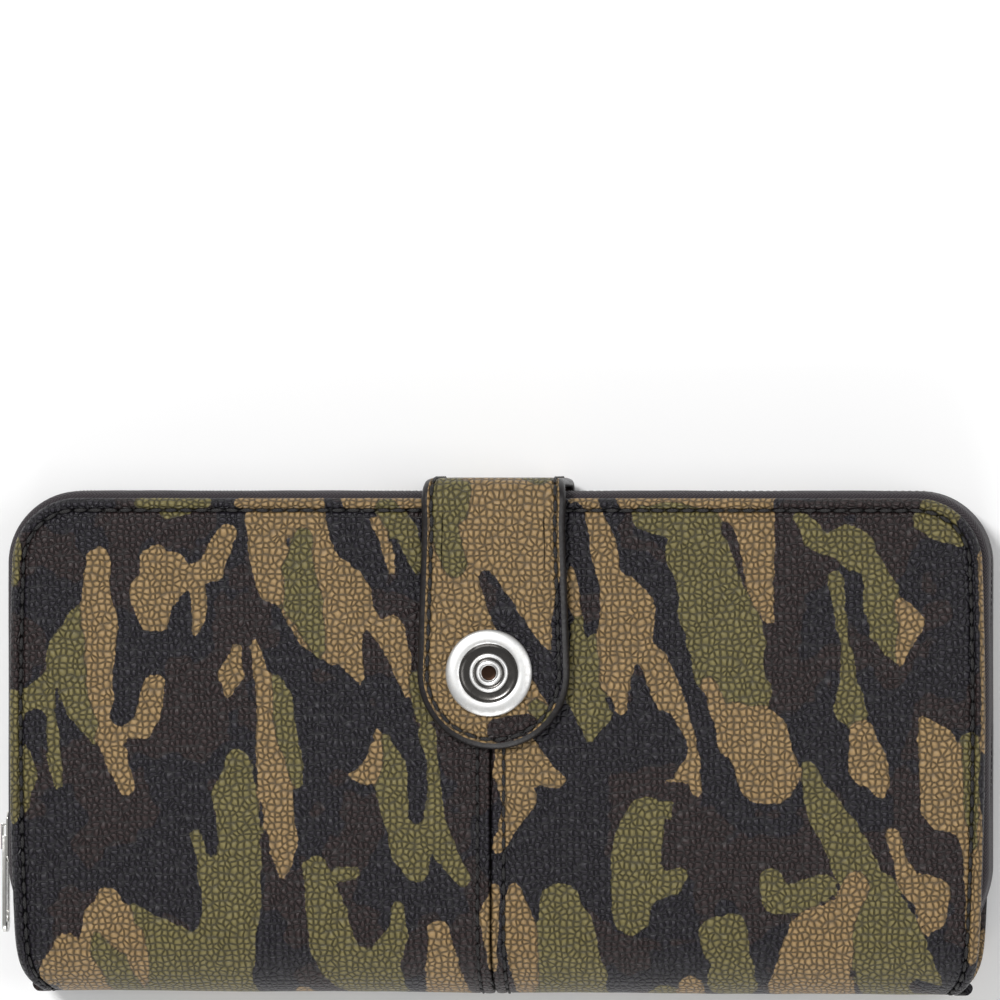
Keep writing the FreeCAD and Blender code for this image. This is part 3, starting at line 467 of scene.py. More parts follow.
# each stroke: colour letter, then points (x, y, half width) it passes through; later strokes lie on top
coverStrokes = [
    # left half, upper
    "g -96.5 40 1.6 | -96.5 33 1.3", "g -97 8 3 | -97 0 2.6 | -96.5 -14 1.3",
    "g -82 24 3.4 | -83.5 18 5.4 | -84 10 5 | -80 3 2.6",
    "g -86 13 2.8 | -91 9.4 2.8 | -96 7 3", "g -88.6 8 1.4 | -88 0 1.4 | -86.8 -8 0.9",
    "d -87 11 0.5 | -86 5 1.4 | -82.5 0 2.6 | -79 -7 3.4",
    "d -91.2 5 2.4 | -91.6 -1 2.9", "g -93.6 -1 1 | -92.8 -6 1.8 | -94 -12 1",
    "t -78.7 37 2.3 | -79.2 30 2.7 | -78.2 24 3.2", "t -77.8 20 3.3 | -78 13 2.7 | -77 7 2.1",
    "t -76 3.4 2.3 | -70 3.6 2 | -68.4 8 2.4 | -67.5 12.5 1.8",
    "t -76.3 1.5 2.5 | -74.6 -4 2 | -73 -8.4 1.3", "d -73 22 2.2 | -73 12 2.9 | -74.2 6 2.2",
    "d -72.6 0.4 1.4 | -70 0 1.4",
    "t -67.5 36.6 2.8 | -66 32 4.6", "t -68 29.5 4.5 | -68 26 3.2 | -66.4 24 1.6",
    "t -64 35 3.2 | -61.5 33.4 2.2",
    "t -60.5 33.6 1.5 | -56 35.4 2.5 | -53.2 41.6 1.9", "t -59 31 1.6 | -58.8 27 1.7 | -59.3 22.6 0.7",
    "t -57.6 24.6 1.2",
    "d -60.8 31.5 0.5 | -61.8 27 1.6 | -62.6 21 3", "t -51.2 19 0.8 | -52.4 14 2.4 | -52.8 10.4 0.6",
    "g -70 48.8 1.5 | -58 48.8 1.7", "g -65 46.4 1.2 | -61 46.6 1",
    # the long strip, and the lower left
    "g -51 -3 2.2 | -51.5 -10 4.4 | -51 -18 4.4 | -52 -26 5.6 | -52.5 -34 5.6 | -54 -43 5.5",
    "t -47.8 20.6 0.4 | -46.2 14 1.4 | -45.5 8 1.5 | -45 2 2.5"
    " | -43.6 -5 3.4 | -42.8 -13 3 | -41.8 -20 2.5 | -42.3 -27 0.4",
    "g -43.4 13 1.2 | -42.3 9 2.1 | -41.6 3 2.2 | -40.2 -2 1.8 | -39.4 -7 1.1",
    "g -59.4 -17.6 0.8 | -57.8 -23 1.2 | -57 -27 1.6",
    "d -56.6 -14 1.4 | -55.9 -21 1.2", "g -71.6 -32.6 1.2 | -68 -37 3.4 | -62 -41 4.4 | -56 -42 5",
    "g -68 -45 3.4 | -60 -47 5 | -52 -47 4",
    "t -76.8 -30.4 2.2 | -77 -35 4.8 | -76.5 -41 7 | -79 -47 8.5", "t -85 -41 4 | -88.6 -42.6 2.4",
    "g -79 -38.5 1.8 | -75.5 -42 3 | -73 -49 3.6",
    "d -56 -49 2.4", "d -42 -30 3.8 | -42.4 -37 4.4 | -43 -44 5.6 | -38 -50 6.5",
    "t -38.8 -47.6 1.9 | -37.4 -51 2.2",
    "g -35.5 -24 2.3 | -34 -31 3.6 | -32 -38 4.4 | -28.5 -42 4.8 | -23 -48 4.6",
    "g -31 -25.4 1.4 | -28 -25 1.2",
    "g -19.2 -32 1 | -19 -37 1.7 | -22 -40.5 3 | -22 -47 4", "d -26 -32.5 3.4 | -26 -36.6 2.1",
    "t -11 -36.4 2 | -10.3 -42 3.4 | -10 -50 4.8",
    # either side of the strap, left
    "t -46 45 3.4 | -44.6 38 3.6 | -43.4 32 3.8", "t -42 46 4.8 | -38 46 4.2",
    "t -36 40 4.6 | -33 33 5 | -30 26 5.2 | -28.4 19 3.6 | -26.4 13 0.8",
    "t -39 30 4.6 | -35 23 4.2 | -31.5 18.4 2.2",
    "t -26 33 2.4 | -25.8 28 2.6 | -22 22 4.2 | -20 16 3.2 | -18 9 1",
    "t -23.6 44 1.3 | -22 38 1.6 | -20.5 35 1",
    "t -50 48.9 1.5 | -15 48.9 1.5",
    "g -38 41.5 1.9 | -38.9 35 3.3 | -37.9 28 4 | -36 22 2.6 | -34.6 18.4 1",
    "g -21.5 47.5 2.4 | -18 42 2.8 | -16.4 35 2.2", "g -15.6 13 1.8 | -14 6 1.6",
    "d -32.4 50 1.7 | -31 44 2.6 | -28.6 39.6 3.4",
    "d -26.6 42.6 2.6 | -25 38 3 | -22.8 32 2.4 | -22 26.4 1.4",
    "d -19.8 40.4 0.8 | -18 35 1.8 | -16.5 29 3.2", "d -42.4 48 1.5",
    "d -25.6 22.6 0.9 | -23.8 17 2.4 | -22 10 4 | -20.5 4 5",
    "g -22 1 1.3 | -20.5 -5 3.4 | -19.5 -12 3.2 | -16.5 -20 4 | -15.6 -24.4 2.4",
    "g -13.4 3 1.5 | -12.6 -6 1.4 | -12 -14 1.8 | -9.6 -21 2.2 | -6.2 -26.4 1.3",
    "t -28.4 -5.6 0.5 | -25.5 -5.5 2 | -24 -3 1.3 | -23.2 3 0.4",
    "d -15.6 -1 1.9 | -15.2 -8 2.2 | -15.5 -13.6 1.8", "d -11.4 -26.6 2.2 | -11 -31 3",
    # right of the strap
    "t 16.2 34 1.7 | 16.2 28 1.7", "g 17.5 24 2 | 18.5 18 3.8 | 18 11 4 | 19.4 6 3.4 | 18.5 2 0.8",
    "t 19 47 2.8 | 22 41 3.2 | 23 34 2.6", "t 24 32 3.6 | 26 27 5.6 | 26 20 5.2 | 25 13 3.6 | 25 8 1.2",
    "t 31 19 2.8 | 34 11 3 | 37 4 1.9 | 38.6 -3 2 | 40 -9 0.6", "t 34.5 -6 1.2 | 38 -4 2.4",
    "t 16 48.9 1.5 | 55 48.9 1.5", "g 30 45.6 2.8 | 36 45 4 | 41 44 3.6",
    "g 40 38 6.2 | 42 30 6.8 | 45 24 7.6 | 47 16 7.6 | 49 11 5.6",
    "t 48.5 48 4 | 51.5 44 4.2 | 52.6 38 3.4 | 52.4 33 2.8 | 54.4 26 1.4",
    "d 16 47 1.9 | 17.3 38 1.9 | 18.8 31 2.3 | 19.2 25 1.9 | 18.6 22 0.8",
    "d 22 49.6 1.9 | 24.5 43.6 1.9 | 27.5 39.5 3 | 26.6 36 2.4",
    "d 31 40.4 2 | 33.5 33 2 | 34.9 28.5 1.9 | 34.2 22 1.5",
    "d 31.4 20.8 0.9 | 34.5 19.6 1.3 | 36.5 15 1.2 | 38.6 9 0.7 | 39.3 5 0.3",
    "d 28.3 15.6 0.8 | 28.8 10 2.6 | 29.5 4 4", "d 33 4.4 2.8 | 36 0 2.6 | 33 -4 3", "d 12 3 2.6 | 12 -1 3",
    "t 2 1 1.4 | 3 -5 3.2 | 5 -10.4 3.2 | 3 -15 1.9 | 0.6 -20 1", "t 5 -1 3.4 | 9 -5 2.6 | 13.2 -7 1.2",
    "d 25 -1 6 | 23 -9 8 | 17 -15 8 | 12 -21 7 | 19 -28 4 | 21.3 -35 1.8",
    "t 4 -28 1 | 4.5 -34 3 | 5.5 -40 3 | 6.4 -47 2.4", "t 0 -28 0.7 | -1 -34 1.9 | -0.4 -41 0.6",
    "g 13 -31 4 | 14 -36 5.6 | 15 -43 6.6 | 14 -50 7.4",
    "g 30 -13.4 3.6 | 28.5 -19 4.8 | 28 -26 5 | 27 -33 3.6", "g 34.6 -12.4 1.7 | 38.2 -15.2 0.5",
    "g 34 -27.4 3 | 36.8 -25.2 1.5", "d 35.4 -18.5 2.2 | 34.6 -22.6 1.7", "d 21.2 -33 2.4 | 21.5 -36 1.2",
    "t 47.5 5.6 2.8 | 52 2 5.8 | 54 -5.4 6", "t 42.4 12 1.2 | 44.5 6 1.4 | 47 1 3", "t 57 2 2.8",
    "d 42 4.4 0.9 | 42.3 -1 1.8 | 43 -7 2.4",
    # the broad dark band and what lies right of it
    "d 60 49 4.8 | 60 40 4.9 | 60.5 32 5.6 | 61 24 6 | 60 17 7.2 | 63 8 5 | 65.6 2 4.6 | 67.4 -5 3",
    "d 70 -9 3.8 | 75 -11.6 3.8",
    "g 60.4 45 1.1 | 63.5 41.5 2.6 | 69 40.5 3.6 | 71 39 4",
    "g 67.4 33 1.6 | 68.2 26 0.9 | 69.8 20 1.1 | 70.3 13 2 | 70.6 8 3.4",
    "g 73 36 3.2 | 76 30 3.8 | 77 24 3.6 | 79.4 18 1.2", "d 66 43.6 1.6 | 70 46.8 2",
    "t 73 2 2.8 | 74 -4 3.7 | 76.8 -8.6 1.4",
    "d 70.8 33 1.9 | 71 28 2.1 | 72 21 2.1 | 74 14 2.6 | 76.4 6 2.4 | 79 0 2.4 | 83.4 -4.6 1.3",
    "t 80.5 28 1.2 | 82.4 24.6 2.3 | 80.6 19 0.9 | 80.2 16.4 0.3", "t 85.4 24.4 0.8",
    "g 85 44.6 2.4 | 89 43 2.6 | 91.6 41 1.3", "g 86 48.4 1.6 | 91 46.6 1.6",
    "t 84.4 5.4 0.8 | 87 1 3.6 | 89 -6 5 | 88 -12 4 | 94 -14 2.8 | 94.5 -25 2.2 | 95 -38 2.2",
    "t 97 38 1 | 97.4 20 0.8 | 97.6 0 0.8",
    "g 94 1 2 | 94 -10 2 | 95 -19 1.1",
    "d 79.2 -9 1.9 | 80 -14 4 | 84 -20 4.6 | 89 -20 3.4 | 90.5 -28 2.4 | 90.5 -36 2.6 | 92.4 -46 2.2",
    "g 62 -4 1.2 | 63.5 -9 2.6 | 66.5 -15 4 | 70 -21 4.4 | 73 -27 4", "d 75 -16.6 1.9 | 76.3 -20.6 1.3",
    "d 48 -16 6 | 56 -17 5.6 | 60.6 -18 3.4 | 64.6 -22.6 2", "d 44 -22 6 | 46 -28 4.6 | 52 -33 1.9",
    "t 78.5 -17 1.4 | 80 -22 1.3 | 82 -27 2.4 | 86 -29 3.7 | 86.4 -33 2.6 | 85.5 -35.6 0.7",
    "g 76 -29 4.2 | 77 -37 7 | 80 -45 8", "g 85 -43 5",
    "t 71.6 -27 2.1 | 69.4 -31 2.2 | 64 -38 6.2 | 62 -46 8.4",
    "g 54.6 -26 2.2 | 55.5 -30.4 2.4 | 60 -29.6 2.6 | 65 -27.4 2.4", "d 83.4 -45 2 | 88 -46.6 2.2",
    "g 44 -37 3.4 | 47 -35.4 2.6 | 46.6 -44 5", "t 38.4 -45 2.2 | 38 -50 3",
    "d 36 -33 4.2 | 34 -38 4.4 | 28 -42 5 | 26 -46 3.4", "d 39 -14 4.6 | 38 -20.4 2.8",
    "g 33 -47 2.4 | 31 -51 3.4", "d 58 -49.6 2.2", "d 71.5 -48.4 1.8",
]
strapStrokes = [
    "g -9.6 58 3 | -9.6 42 2.9 | -7.6 36 2.6", "g -6 50.6 2 | -7 46 2", "g 9 54 3 | 4 57 2.4",
    "d -1.3 33.4 1.6 | 0.8 29 2.6 | 3.2 24 3 | 7.4 18 3.2 | 10.8 15 3.2 | 11.6 10.4 2.4",
    "d 14 33 0.9 | 13.3 26 1.9 | 13.8 18 2.4 | 15 9 1.7",
    "d 1.6 3 3 | 6.4 4.4 2.3", "g 8.6 8 1.9 | 10.8 5.8 1.5", "g -4 68 5 | -9 74 4", "d 6 63 3.4 | 3 71 4.6",
    "d -13 64 2.4 | -12 70 2",
]


def paintPrint(x, y, strokes, base):
    # lightField: above 0 where the leather isn't dark. tanField: above 0 where it is tan, not green
    light, warm = np.full(len(x), float(base)), np.full(len(x), float(base))
    for stroke in strokes:
        colour, rest = stroke.split(" ", 1)
        knots = [tuple(float(n) for n in knot.split()) for knot in rest.split("|")]
        depth = np.full(len(x), -9.0)
        for (ax, ay, ar), (bx, by, br) in zip(knots, knots[1:]):
            ex, ey = bx - ax, by - ay
            t = np.clip(((x - ax) * ex + (y - ay) * ey) / (ex * ex + ey * ey), 0, 1)
            depth = np.maximum(depth, ar + (br - ar) * t - np.hypot(x - ax - ex * t, y - ay - ey * t))
        if colour == "d":
            light = np.minimum(light, -depth)
        else:
            light = np.maximum(light, depth)
            warm = np.maximum(warm, depth + 0.4) if colour == "t" else np.minimum(warm, -depth)
    return np.clip(light, -3, 3), np.clip(warm, -3, 3)


def skinPrint(x, v):
    # the print runs round the spine and goes on over the back, turned end for end
    def at(px, pv):
        y = np.where(pv > halfArc, pv - halfArc + cover["spineY"],
                     cover["spineY"] - (halfArc - pv) * (cover["spineRadius"] / halfArc))
        return paintPrint(px, y, coverStrokes, -3)
    front, back = at(x, np.abs(v)), at(-x * 0.97 + 9, np.abs(v))
    share = np.clip((4 - v) / 12, 0, 1)
    share = share * share * (3 - 2 * share)
    return [f * (1 - share) + b * share for f, b in zip(front, back)]


# the leather skin: four quarters that meet at the centre seam and at mid spine

rimProfile = [(5.4, 0.10), (4.2, 0.12), (3.5, 0.10), (3.05, -0.04), (2.75, -0.36), (2.4, -0.56),
              (2.1, -0.34), (1.8, 0.08), (1.4, 0.3), (1.0, 0.24), (0.6, -0.02), (0.3, -0.34), (0.1, -0.7),
              (0.0, -1.15), (0.1, -1.6), (0.4, -2.0), (0.9, -2.22), (1.6, -2.3), (8.0, -2.3),
              (8.05, -1.3)]
seamOffsets = [0.0, 0.1, 0.22, 0.4, 0.65, 1.0, 1.5, 2.0, 2.3, 2.6, 2.9, 3.3, 4.0]


def overFold(piece):
    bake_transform(piece)


def sideHalf(v):
    v = np.asarray(v, float)
    y = np.abs(v) - halfArc + cover["spineY"]
    return cover["halfWidth"] - cover["barrel"] * ((y - 5) / 45) ** 2 * (np.abs(v) > 0) \
        - cover["spinePinch"] * np.exp(-(v / 8.0) ** 2)


def rimRoute(side, rows, columns):
    # the quarter's free edge in (distance from the seam, v), with inward normals
    radius = cover["cornerRadius"]
    turnV = skinTop - radius
    rows = [v for v in rows if v < turnV - 0.3] + [turnV]
    edge = sideHalf(np.array(rows)) - side * cover["seamX"]
    slope = (sideHalf(np.array(rows) + 0.01) - sideHalf(np.maximum(np.array(rows) - 0.01, 0))) / \
        (0.02 - np.maximum(0.01 - np.array(rows), 0))
    slope[0], slope[-1] = 0, 0
    path = [(e, v) for e, v in zip(edge, rows)]
    inward = [(-1 / math.hypot(1, s), s / math.hypot(1, s)) for s in slope]
    centreE = edge[-1] - radius
    for k in range(1, 25):
        a = math.radians(90 * k / 24)
        path.append((centreE + radius * math.cos(a), turnV + radius * math.sin(a)))
        inward.append((-math.cos(a), -math.sin(a)))
    for e in [c for c in columns if c < centreE - 0.3][::-1]:
        path.append((e, skinTop))
        inward.append((0.0, -1.0))
    return path, inward


skinRows = [0.0, 0.1, 0.3, 0.6] + [float(v) for v in np.arange(1.2, 106, 1.1)]
skinColumns = seamOffsets + [float(e) for e in np.arange(4.9, 99, 1.1)]


def seamDip(e):
    return -0.6 * np.exp(-(e / 0.26) ** 2) - 0.3 * np.exp(-((e - cover["topstitch"]) / 0.32) ** 2) \
        + 0.1 * np.exp(-((e - 1.3) / 0.9) ** 2)


def buildSkin(side, face):
    path, inward = rimRoute(side, skinRows, skinColumns)
    deepest = rimProfile[-1][0]
    edge = float(sideHalf(0.0)) - side * cover["seamX"]
    sides = [[(0.0, v) for v in skinRows if v < skinTop - deepest - 0.3][::-1],
             [(e, 0.0) for e in skinColumns if 0 < e < edge - deepest - 0.3]]
    grid = [(e, v) for e in skinColumns[1:] for v in skinRows[1:]]
    coarse = [(e, v) for e in np.arange(7, 99, 7.0) for v in np.arange(4, 105, 4.0)]
    points, heights, uv, faces, tags, zone = edgedPanel(
        path, inward, rimProfile, sides, grid, coarse,
        lambda p: np.full(len(p), rimProfile[0][1]), lambda p: np.full(len(p), -cover["leather"]))
    e, v = points[:, 0], points[:, 1]
    depth = np.array([d for d, _ in rimProfile])[np.maximum(zone, 0)]
    outer = (zone == -1) | ((zone >= 0) & (zone <= 12))
    fade = np.where(zone == -1, 1.0, np.clip(depth / rimProfile[0][0], 0, 1))
    x = cover["seamX"] + side * np.maximum(e, 0.02)
    crown = sum(height * ripple(x, face * v, length, seed) for height, length, seed in cover["waves"])
    settle = 0.15 if face < 0 else 0.0        # the back cover lies flat on its face
    heights = heights + np.where(outer, crown * fade * (1 - settle * 4) + seamDip(e) - settle, 0)
    world = np.stack([cover["seamX"] + side * uv[:, 0], face * uv[:, 1]], 1)
    # painted shade for the stitch groove inside the rim, the centre seam and the topstitch line
    grooveShade = np.where(zone >= 0, np.exp(-((depth - cover["stitchInset"]) / 0.42) ** 2), 0) * outer
    grooveShade = np.maximum(grooveShade, np.exp(-(e / 0.35) ** 2))
    grooveShade = np.maximum(grooveShade, 0.8 * np.exp(-((e - cover["topstitch"]) / 0.4) ** 2))
    light, warm = skinPrint(world[:, 0], world[:, 1])
    tag = np.where((tags < -1) | (tags == len(rimProfile) - 2), 1, 0)
    name = ("front" if face > 0 else "back") + "Skin" + ("Right" if side > 0 else "Left")
    return makePiece(name, wrapSkin(x, face * v, heights), faces, [camoFinish, hemFinish], tag, world,
                     {"lightField": light, "tanField": warm, "grooveShadeField": grooveShade}, smooth=60)


for face, where in ((1, "front"), (-1, "back")):
    for side, hand in ((1, "right"), (-1, "left")):
        skin = buildSkin(side, face)
        overFold(skin)
        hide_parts(f"{where}_leather_{hand}", f"spine_leather_{hand}")
print("skin sewn")


# the strap, from the back cover's edge up over the zip and down the front

strap = {
    "rootHalf": 13.5, "endRadius": 15.1, "endY": 14.6, "widenFrom": 62.0,
    "outerZ": 28.0, "thickness": 1.8, "upperRadius": 4.5, "upperY": 48.4,
    "lowerRadius": 3.3, "lowerY": 49.6, "lowerZ": 3.9, "splitZ": 13.0,
    "stitchInset": 2.0, "droop": 0.5,
    "dentRadius": 8.7, "dentWidth": 1.1, "dentDepth": 0.16,     # where the snap's rim presses in
    "mapShift": (400.0, 300.0),     # keeps the strap's grain clear of the cover's
}
strap["bendZ"] = strap["outerZ"] - strap["upperRadius"]
strap["middle"] = strap["upperRadius"] - strap["thickness"] / 2
strap["wallFrom"] = strap["middle"] * math.pi / 2
strap["lowerFrom"] = strap["wallFrom"] + strap["bendZ"] - strap["lowerZ"]
strap["splitAt"] = strap["wallFrom"] + strap["bendZ"] - strap["splitZ"]
strap["lowerMiddle"] = strap["lowerRadius"] - strap["thickness"] / 2
strap["rootAt"] = strap["lowerFrom"] + strap["lowerMiddle"] * math.pi / 4
strapProfile = [(4.2, 0.1), (3.4, 0.1), (2.8, 0.07), (2.4, -0.12), (2.0, -0.3), (1.65, -0.12),
                (1.35, 0.06), (1.2, 0.0), (0.9, -0.1), (0.5, -0.26), (0.2, -0.52), (0.0, -0.9),
                (0.15, -1.35), (0.5, -1.68), (1.0, -1.8), (4.2, -1.8)]


def wrapStrap(x, t, h):
    # t is the unrolled distance from the top bend: below 0 down the front, above 0 over the zip
    x, t, h = (np.asarray(a, float) for a in (x, t, h))
    y, z = strap["upperY"] + t, strap["outerZ"] + h
    past = np.clip((strap["endY"] - y) / strap["endRadius"], 0, 1)
    z = z - strap["droop"] * past ** 2
    bend = np.clip(t / strap["middle"], 0, math.pi / 2)
    reach = strap["upperRadius"] + h
    y = np.where(t > 0, strap["upperY"] + reach * np.sin(bend), y)
    z = np.where(t > 0, strap["bendZ"] + reach * np.cos(bend) - np.maximum(t - strap["wallFrom"], 0), z)
    turn = np.clip((t - strap["lowerFrom"]) / strap["lowerMiddle"], 0, math.pi / 2)
    tight = strap["lowerRadius"] + h
    low = t > strap["lowerFrom"]
    onward = np.maximum(t - strap["lowerFrom"] - strap["lowerMiddle"] * math.pi / 2, 0)
    y = np.where(low, strap["lowerY"] + tight * np.cos(turn) - onward, y)
    z = np.where(low, strap["lowerZ"] - tight * np.sin(turn), z)
    return np.stack([x, y, z], 1)


def strapHalf(t):
    y = min(strap["upperY"] + t, strap["lowerY"] + strap["lowerRadius"])
    lean = math.asin((strap["endRadius"] - strap["rootHalf"]) / (strap["widenFrom"] - strap["endY"]))
    return strap["rootHalf"] + (strap["widenFrom"] - y) * math.tan(lean) + \
        0.35 * math.exp(-((t - 0.5) / 3.5) ** 2)


def strapRoute(t0):
    # up the right side, round the end, and back up the left side
    stop = strap["endY"] - strap["upperY"] + 0.5
    steps = max(2, int(round((t0 - stop) / 0.8)))
    ts = [t0 + (stop - t0) * k / steps for k in range(steps + 1)]
    right = [((strapHalf(t), t), (-1.0, 0.0)) for t in ts]
    left = [((-strapHalf(t), t), (1.0, 0.0)) for t in reversed(ts)]
    arc = []
    for k in range(1, 60):
        a = math.radians(2 - 184 * k / 60)
        centre = strap["endY"] - strap["upperY"]
        arc.append(((strap["endRadius"] * math.cos(a), centre + strap["endRadius"] * math.sin(a)),
                    (-math.cos(a), -math.sin(a))))
    return right + arc + left


def strapFields(points, depth):
    light, warm = paintPrint(points[:, 0], strap["upperY"] + points[:, 1], strapStrokes, 3)
    # painted shade along the strap's stitch groove
    grooveShade = np.exp(-((np.asarray(depth, float) - strap["stitchInset"]) / 0.4) ** 2)
    return {"lightField": light, "tanField": warm, "grooveShadeField": grooveShade}


def strapUv(uv):
    return uv + np.array(strap["mapShift"])


def buildTongue():
    route = strapRoute(strap["splitAt"])
    path, inward = [p for p, _ in route], [n for _, n in route]
    top = strap["splitAt"]
    xs = np.arange(-9, 9.1, 0.9)
    sides = [[(x, top) for x in xs]]
    grid = [(x, t) for x in np.arange(-15.3, 15.4, 0.9) for t in np.arange(-52, top - 0.3, 0.9)]
    points, heights, uv, faces, tags, zone = edgedPanel(
        path, inward, strapProfile, sides, grid, grid,
        lambda p: np.full(len(p), strapProfile[0][1]), lambda p: np.full(len(p), -strap["thickness"]))
    away = np.hypot(points[:, 0] - cover["seamX"], points[:, 1] - (strap["endY"] - strap["upperY"]))
    straight = points[:, 1] > strap["endY"] - strap["upperY"]
    toEdge = np.where(straight, strap["rootHalf"] - np.abs(points[:, 0]), strap["endRadius"] - away)
    fade = np.clip((toEdge - strapProfile[0][0]) / 4, 0, 1)
    dent = np.exp(-((away - strap["dentRadius"]) / strap["dentWidth"]) ** 2)
    pressed = -strap["dentDepth"] * dent + 0.06 * fade * ripple(points[:, 0], points[:, 1], 14, 11)
    heights = heights + np.where(zone == -1, pressed, 0)
    tag = np.select([(tags >= 7) & (tags <= 13), (tags == 14) | (tags == -2)], [1, 2], 0)
    return makePiece("strapTongue", wrapStrap(points[:, 0], points[:, 1], heights), faces,
                     [camoFinish, edgeFinish, strapBack], tag, strapUv(uv),
                     strapFields(uv, [strapProfile[k][0] if k >= 0 else 9 for k in zone]))


def buildBridge(name, start, end):
    # a plain strip: the same edge profile on both sides, swept down the wall to the sewn root
    loop = [(-1, d, h) for d, h in strapProfile[::-1]] + \
        [(0, f, strapProfile[0][1]) for f in np.linspace(-0.9, 0.9, 20)] + \
        [(1, d, h) for d, h in strapProfile] + \
        [(0, f, -strap["thickness"]) for f in np.linspace(0.9, -0.9, 12)]
    stops = np.linspace(start, end, max(6, int((end - start) / 0.9)))
    flat, heights = [], []
    for t in stops:
        half = strapHalf(t)
        inner = half - strapProfile[0][0]
        for kind, d, h in loop:
            flat.append((inner * d, t) if kind == 0 else (kind * (half - d), t))
            heights.append(h)
    flat, heights = np.array(flat), np.array(heights)
    count = len(loop)
    faces, tags = [], []
    for i in range(len(stops) - 1):
        for j in range(count):
            k = (j + 1) % count
            faces.append((i * count + j, i * count + k, (i + 1) * count + k, (i + 1) * count + j))
            under = max(heights[j], heights[k]) < 0.01 - strap["thickness"]
            side = loop[j][0] != 0 and loop[k][0] != 0 and min(loop[j][1], loop[k][1]) < 1.3 and not under
            tags.append(2 if under else 1 if side else 0)
    faces += [tuple(range(count))[::-1], tuple((len(stops) - 1) * count + j for j in range(count))]
    tags += [1, 1]
    depths = [d if kind else 9 for kind, d, h in loop] * len(stops)
    return makePiece(name, wrapStrap(flat[:, 0], flat[:, 1], heights), faces,
                     [camoFinish, edgeFinish, strapBack], tags, strapUv(flat),
                     strapFields(flat, depths))


tongue = buildTongue()
overFold(tongue)
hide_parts("tab_tongue_leather", "tab_tongue_lining")
bridge = buildBridge("strapBridge", strap["splitAt"], strap["rootAt"])
overFold(bridge)
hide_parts("tab_bridge_leather", "tab_bridge_lining")
sewnEnd = strap["lowerFrom"] + strap["lowerMiddle"] * math.pi / 2
root = buildBridge("strapRoot", strap["rootAt"] + 0.05, sewnEnd + 0.6)
mount(root, "back", "tab_root")
print("strap cut")


# the snap

snap = {"x": -0.8, "y": 14.6, "z": 28.0, "sides": 96}


def turned(name, outline, finishes, tags):
    # outline is (radius, height) from the axis or an inner wall, round the outside, back to the start
    points, faces, marks = [], [], []
    count, sides = len(outline), snap["sides"]
    for k in range(sides):
        a = 2 * math.pi * k / sides
        points += [(snap["x"] + r * math.cos(a), snap["y"] + r * math.sin(a), z) for r, z in outline]
    for k in range(sides):
        for j in range(count):
            m = (j + 1) % count
            faces.append((k * count + j, ((k + 1) % sides) * count + j, ((k + 1) % sides) * count + m,
                          k * count + m))
            marks.append(tags(outline[j], outline[m]))
    piece = makePiece(name, points, faces, finishes, marks, smooth=40, recalc=False)
    work = bmesh.new()
    work.from_mesh(piece.data)
    bmesh.ops.remove_doubles(work, verts=work.verts, dist=1e-7)
    bmesh.ops.dissolve_degenerate(work, edges=work.edges, dist=1e-8)
    bmesh.ops.recalc_face_normals(work, faces=work.faces)
    work.to_mesh(piece.data)
    work.free()
    piece.data.set_sharp_from_angle(angle=math.radians(40))
    return piece


capOutline = [(1.9, 0.0), (8.2, 0.0), (8.45, 0.08), (8.58, 0.25), (8.6, 0.42), (8.52, 0.62), (8.3, 0.82),
              (7.95, 1.0), (7.5, 1.14), (7.0, 1.22), (6.5, 1.24), (6.1, 1.19), (5.85, 1.08), (5.68, 0.9),
              (5.5, 0.7), (5.2, 0.58), (4.7, 0.52), (4.0, 0.5), (1.9, 0.46)]
rivetOutline = [(0.0, 0.48), (3.7, 0.48), (3.85, 0.62), (3.86, 0.85), (3.78, 1.04), (3.6, 1.15),
                (3.4, 1.16), (3.24, 1.06), (3.12, 0.88), (2.95, 0.74), (2.7, 0.7), (2.52, 0.78),
                (2.42, 0.98), (2.28, 1.15), (2.08, 1.2), (1.88, 1.13), (1.74, 0.95), (1.66, 0.72),
                (1.5, 0.6), (0.8, 0.56), (0.0, 0.55)]
# the cap's dish and the rivet's ring groove take the darkened nickel, a painted dark reflection and shade
cap = turned("snapCap", [(r, snap["z"] + z) for r, z in capOutline], [nickel, paintedShadeNickel],
             lambda a, b: 1 if max(a[0], b[0]) <= 5.9 and min(a[1], b[1]) > snap["z"] + 0.1 else 0)
mount(cap, "tab_tongue", "snap_cap")
rivet = turned("snapRivet", [(r, snap["z"] + z) for r, z in rivetOutline], [nickel, paintedShadeNickel, rivetBrown],
               lambda a, b: 2 if max(a[0], b[0]) < 1.6 and a[1] > snap["z"] + 0.5 else
               1 if 2.5 < min(a[0], b[0]) and max(a[0], b[0]) < 3.2 else 0)
mount(rivet, "tab_tongue", "snap_rivet")
socketOutline = [(2.6, 25.8), (2.75, 25.75), (3.4, 25.72), (5.1, 25.75), (5.4, 25.84), (5.5, 26.0),
                 (5.5, 26.2), (3.3, 26.2), (3.3, 27.75), (0.8, 27.75), (0.8, 27.45), (2.3, 27.4),
                 (2.6, 27.2)]
studOutline = [(0.0, 25.0), (4.9, 25.0), (4.96, 25.14), (4.88, 25.34), (4.5, 25.46), (3.9, 25.42),
               (3.3, 25.5), (1.8, 25.54), (1.62, 25.7), (1.6, 26.15), (1.72, 26.36), (1.96, 26.54),
               (2.02, 26.74), (1.88, 26.94), (1.4, 27.08), (0.0, 27.1)]
for name, outline, body, source in (("snapSocket", socketOutline, "tab_tongue", "snap_socket"),
                                    ("snapStud", studOutline, "front", "snap_stud")):
    part = turned(name, outline, [nickel], lambda a, b: 0)
    mount(part, body, source)
print("snap set")


# the zip round three sides

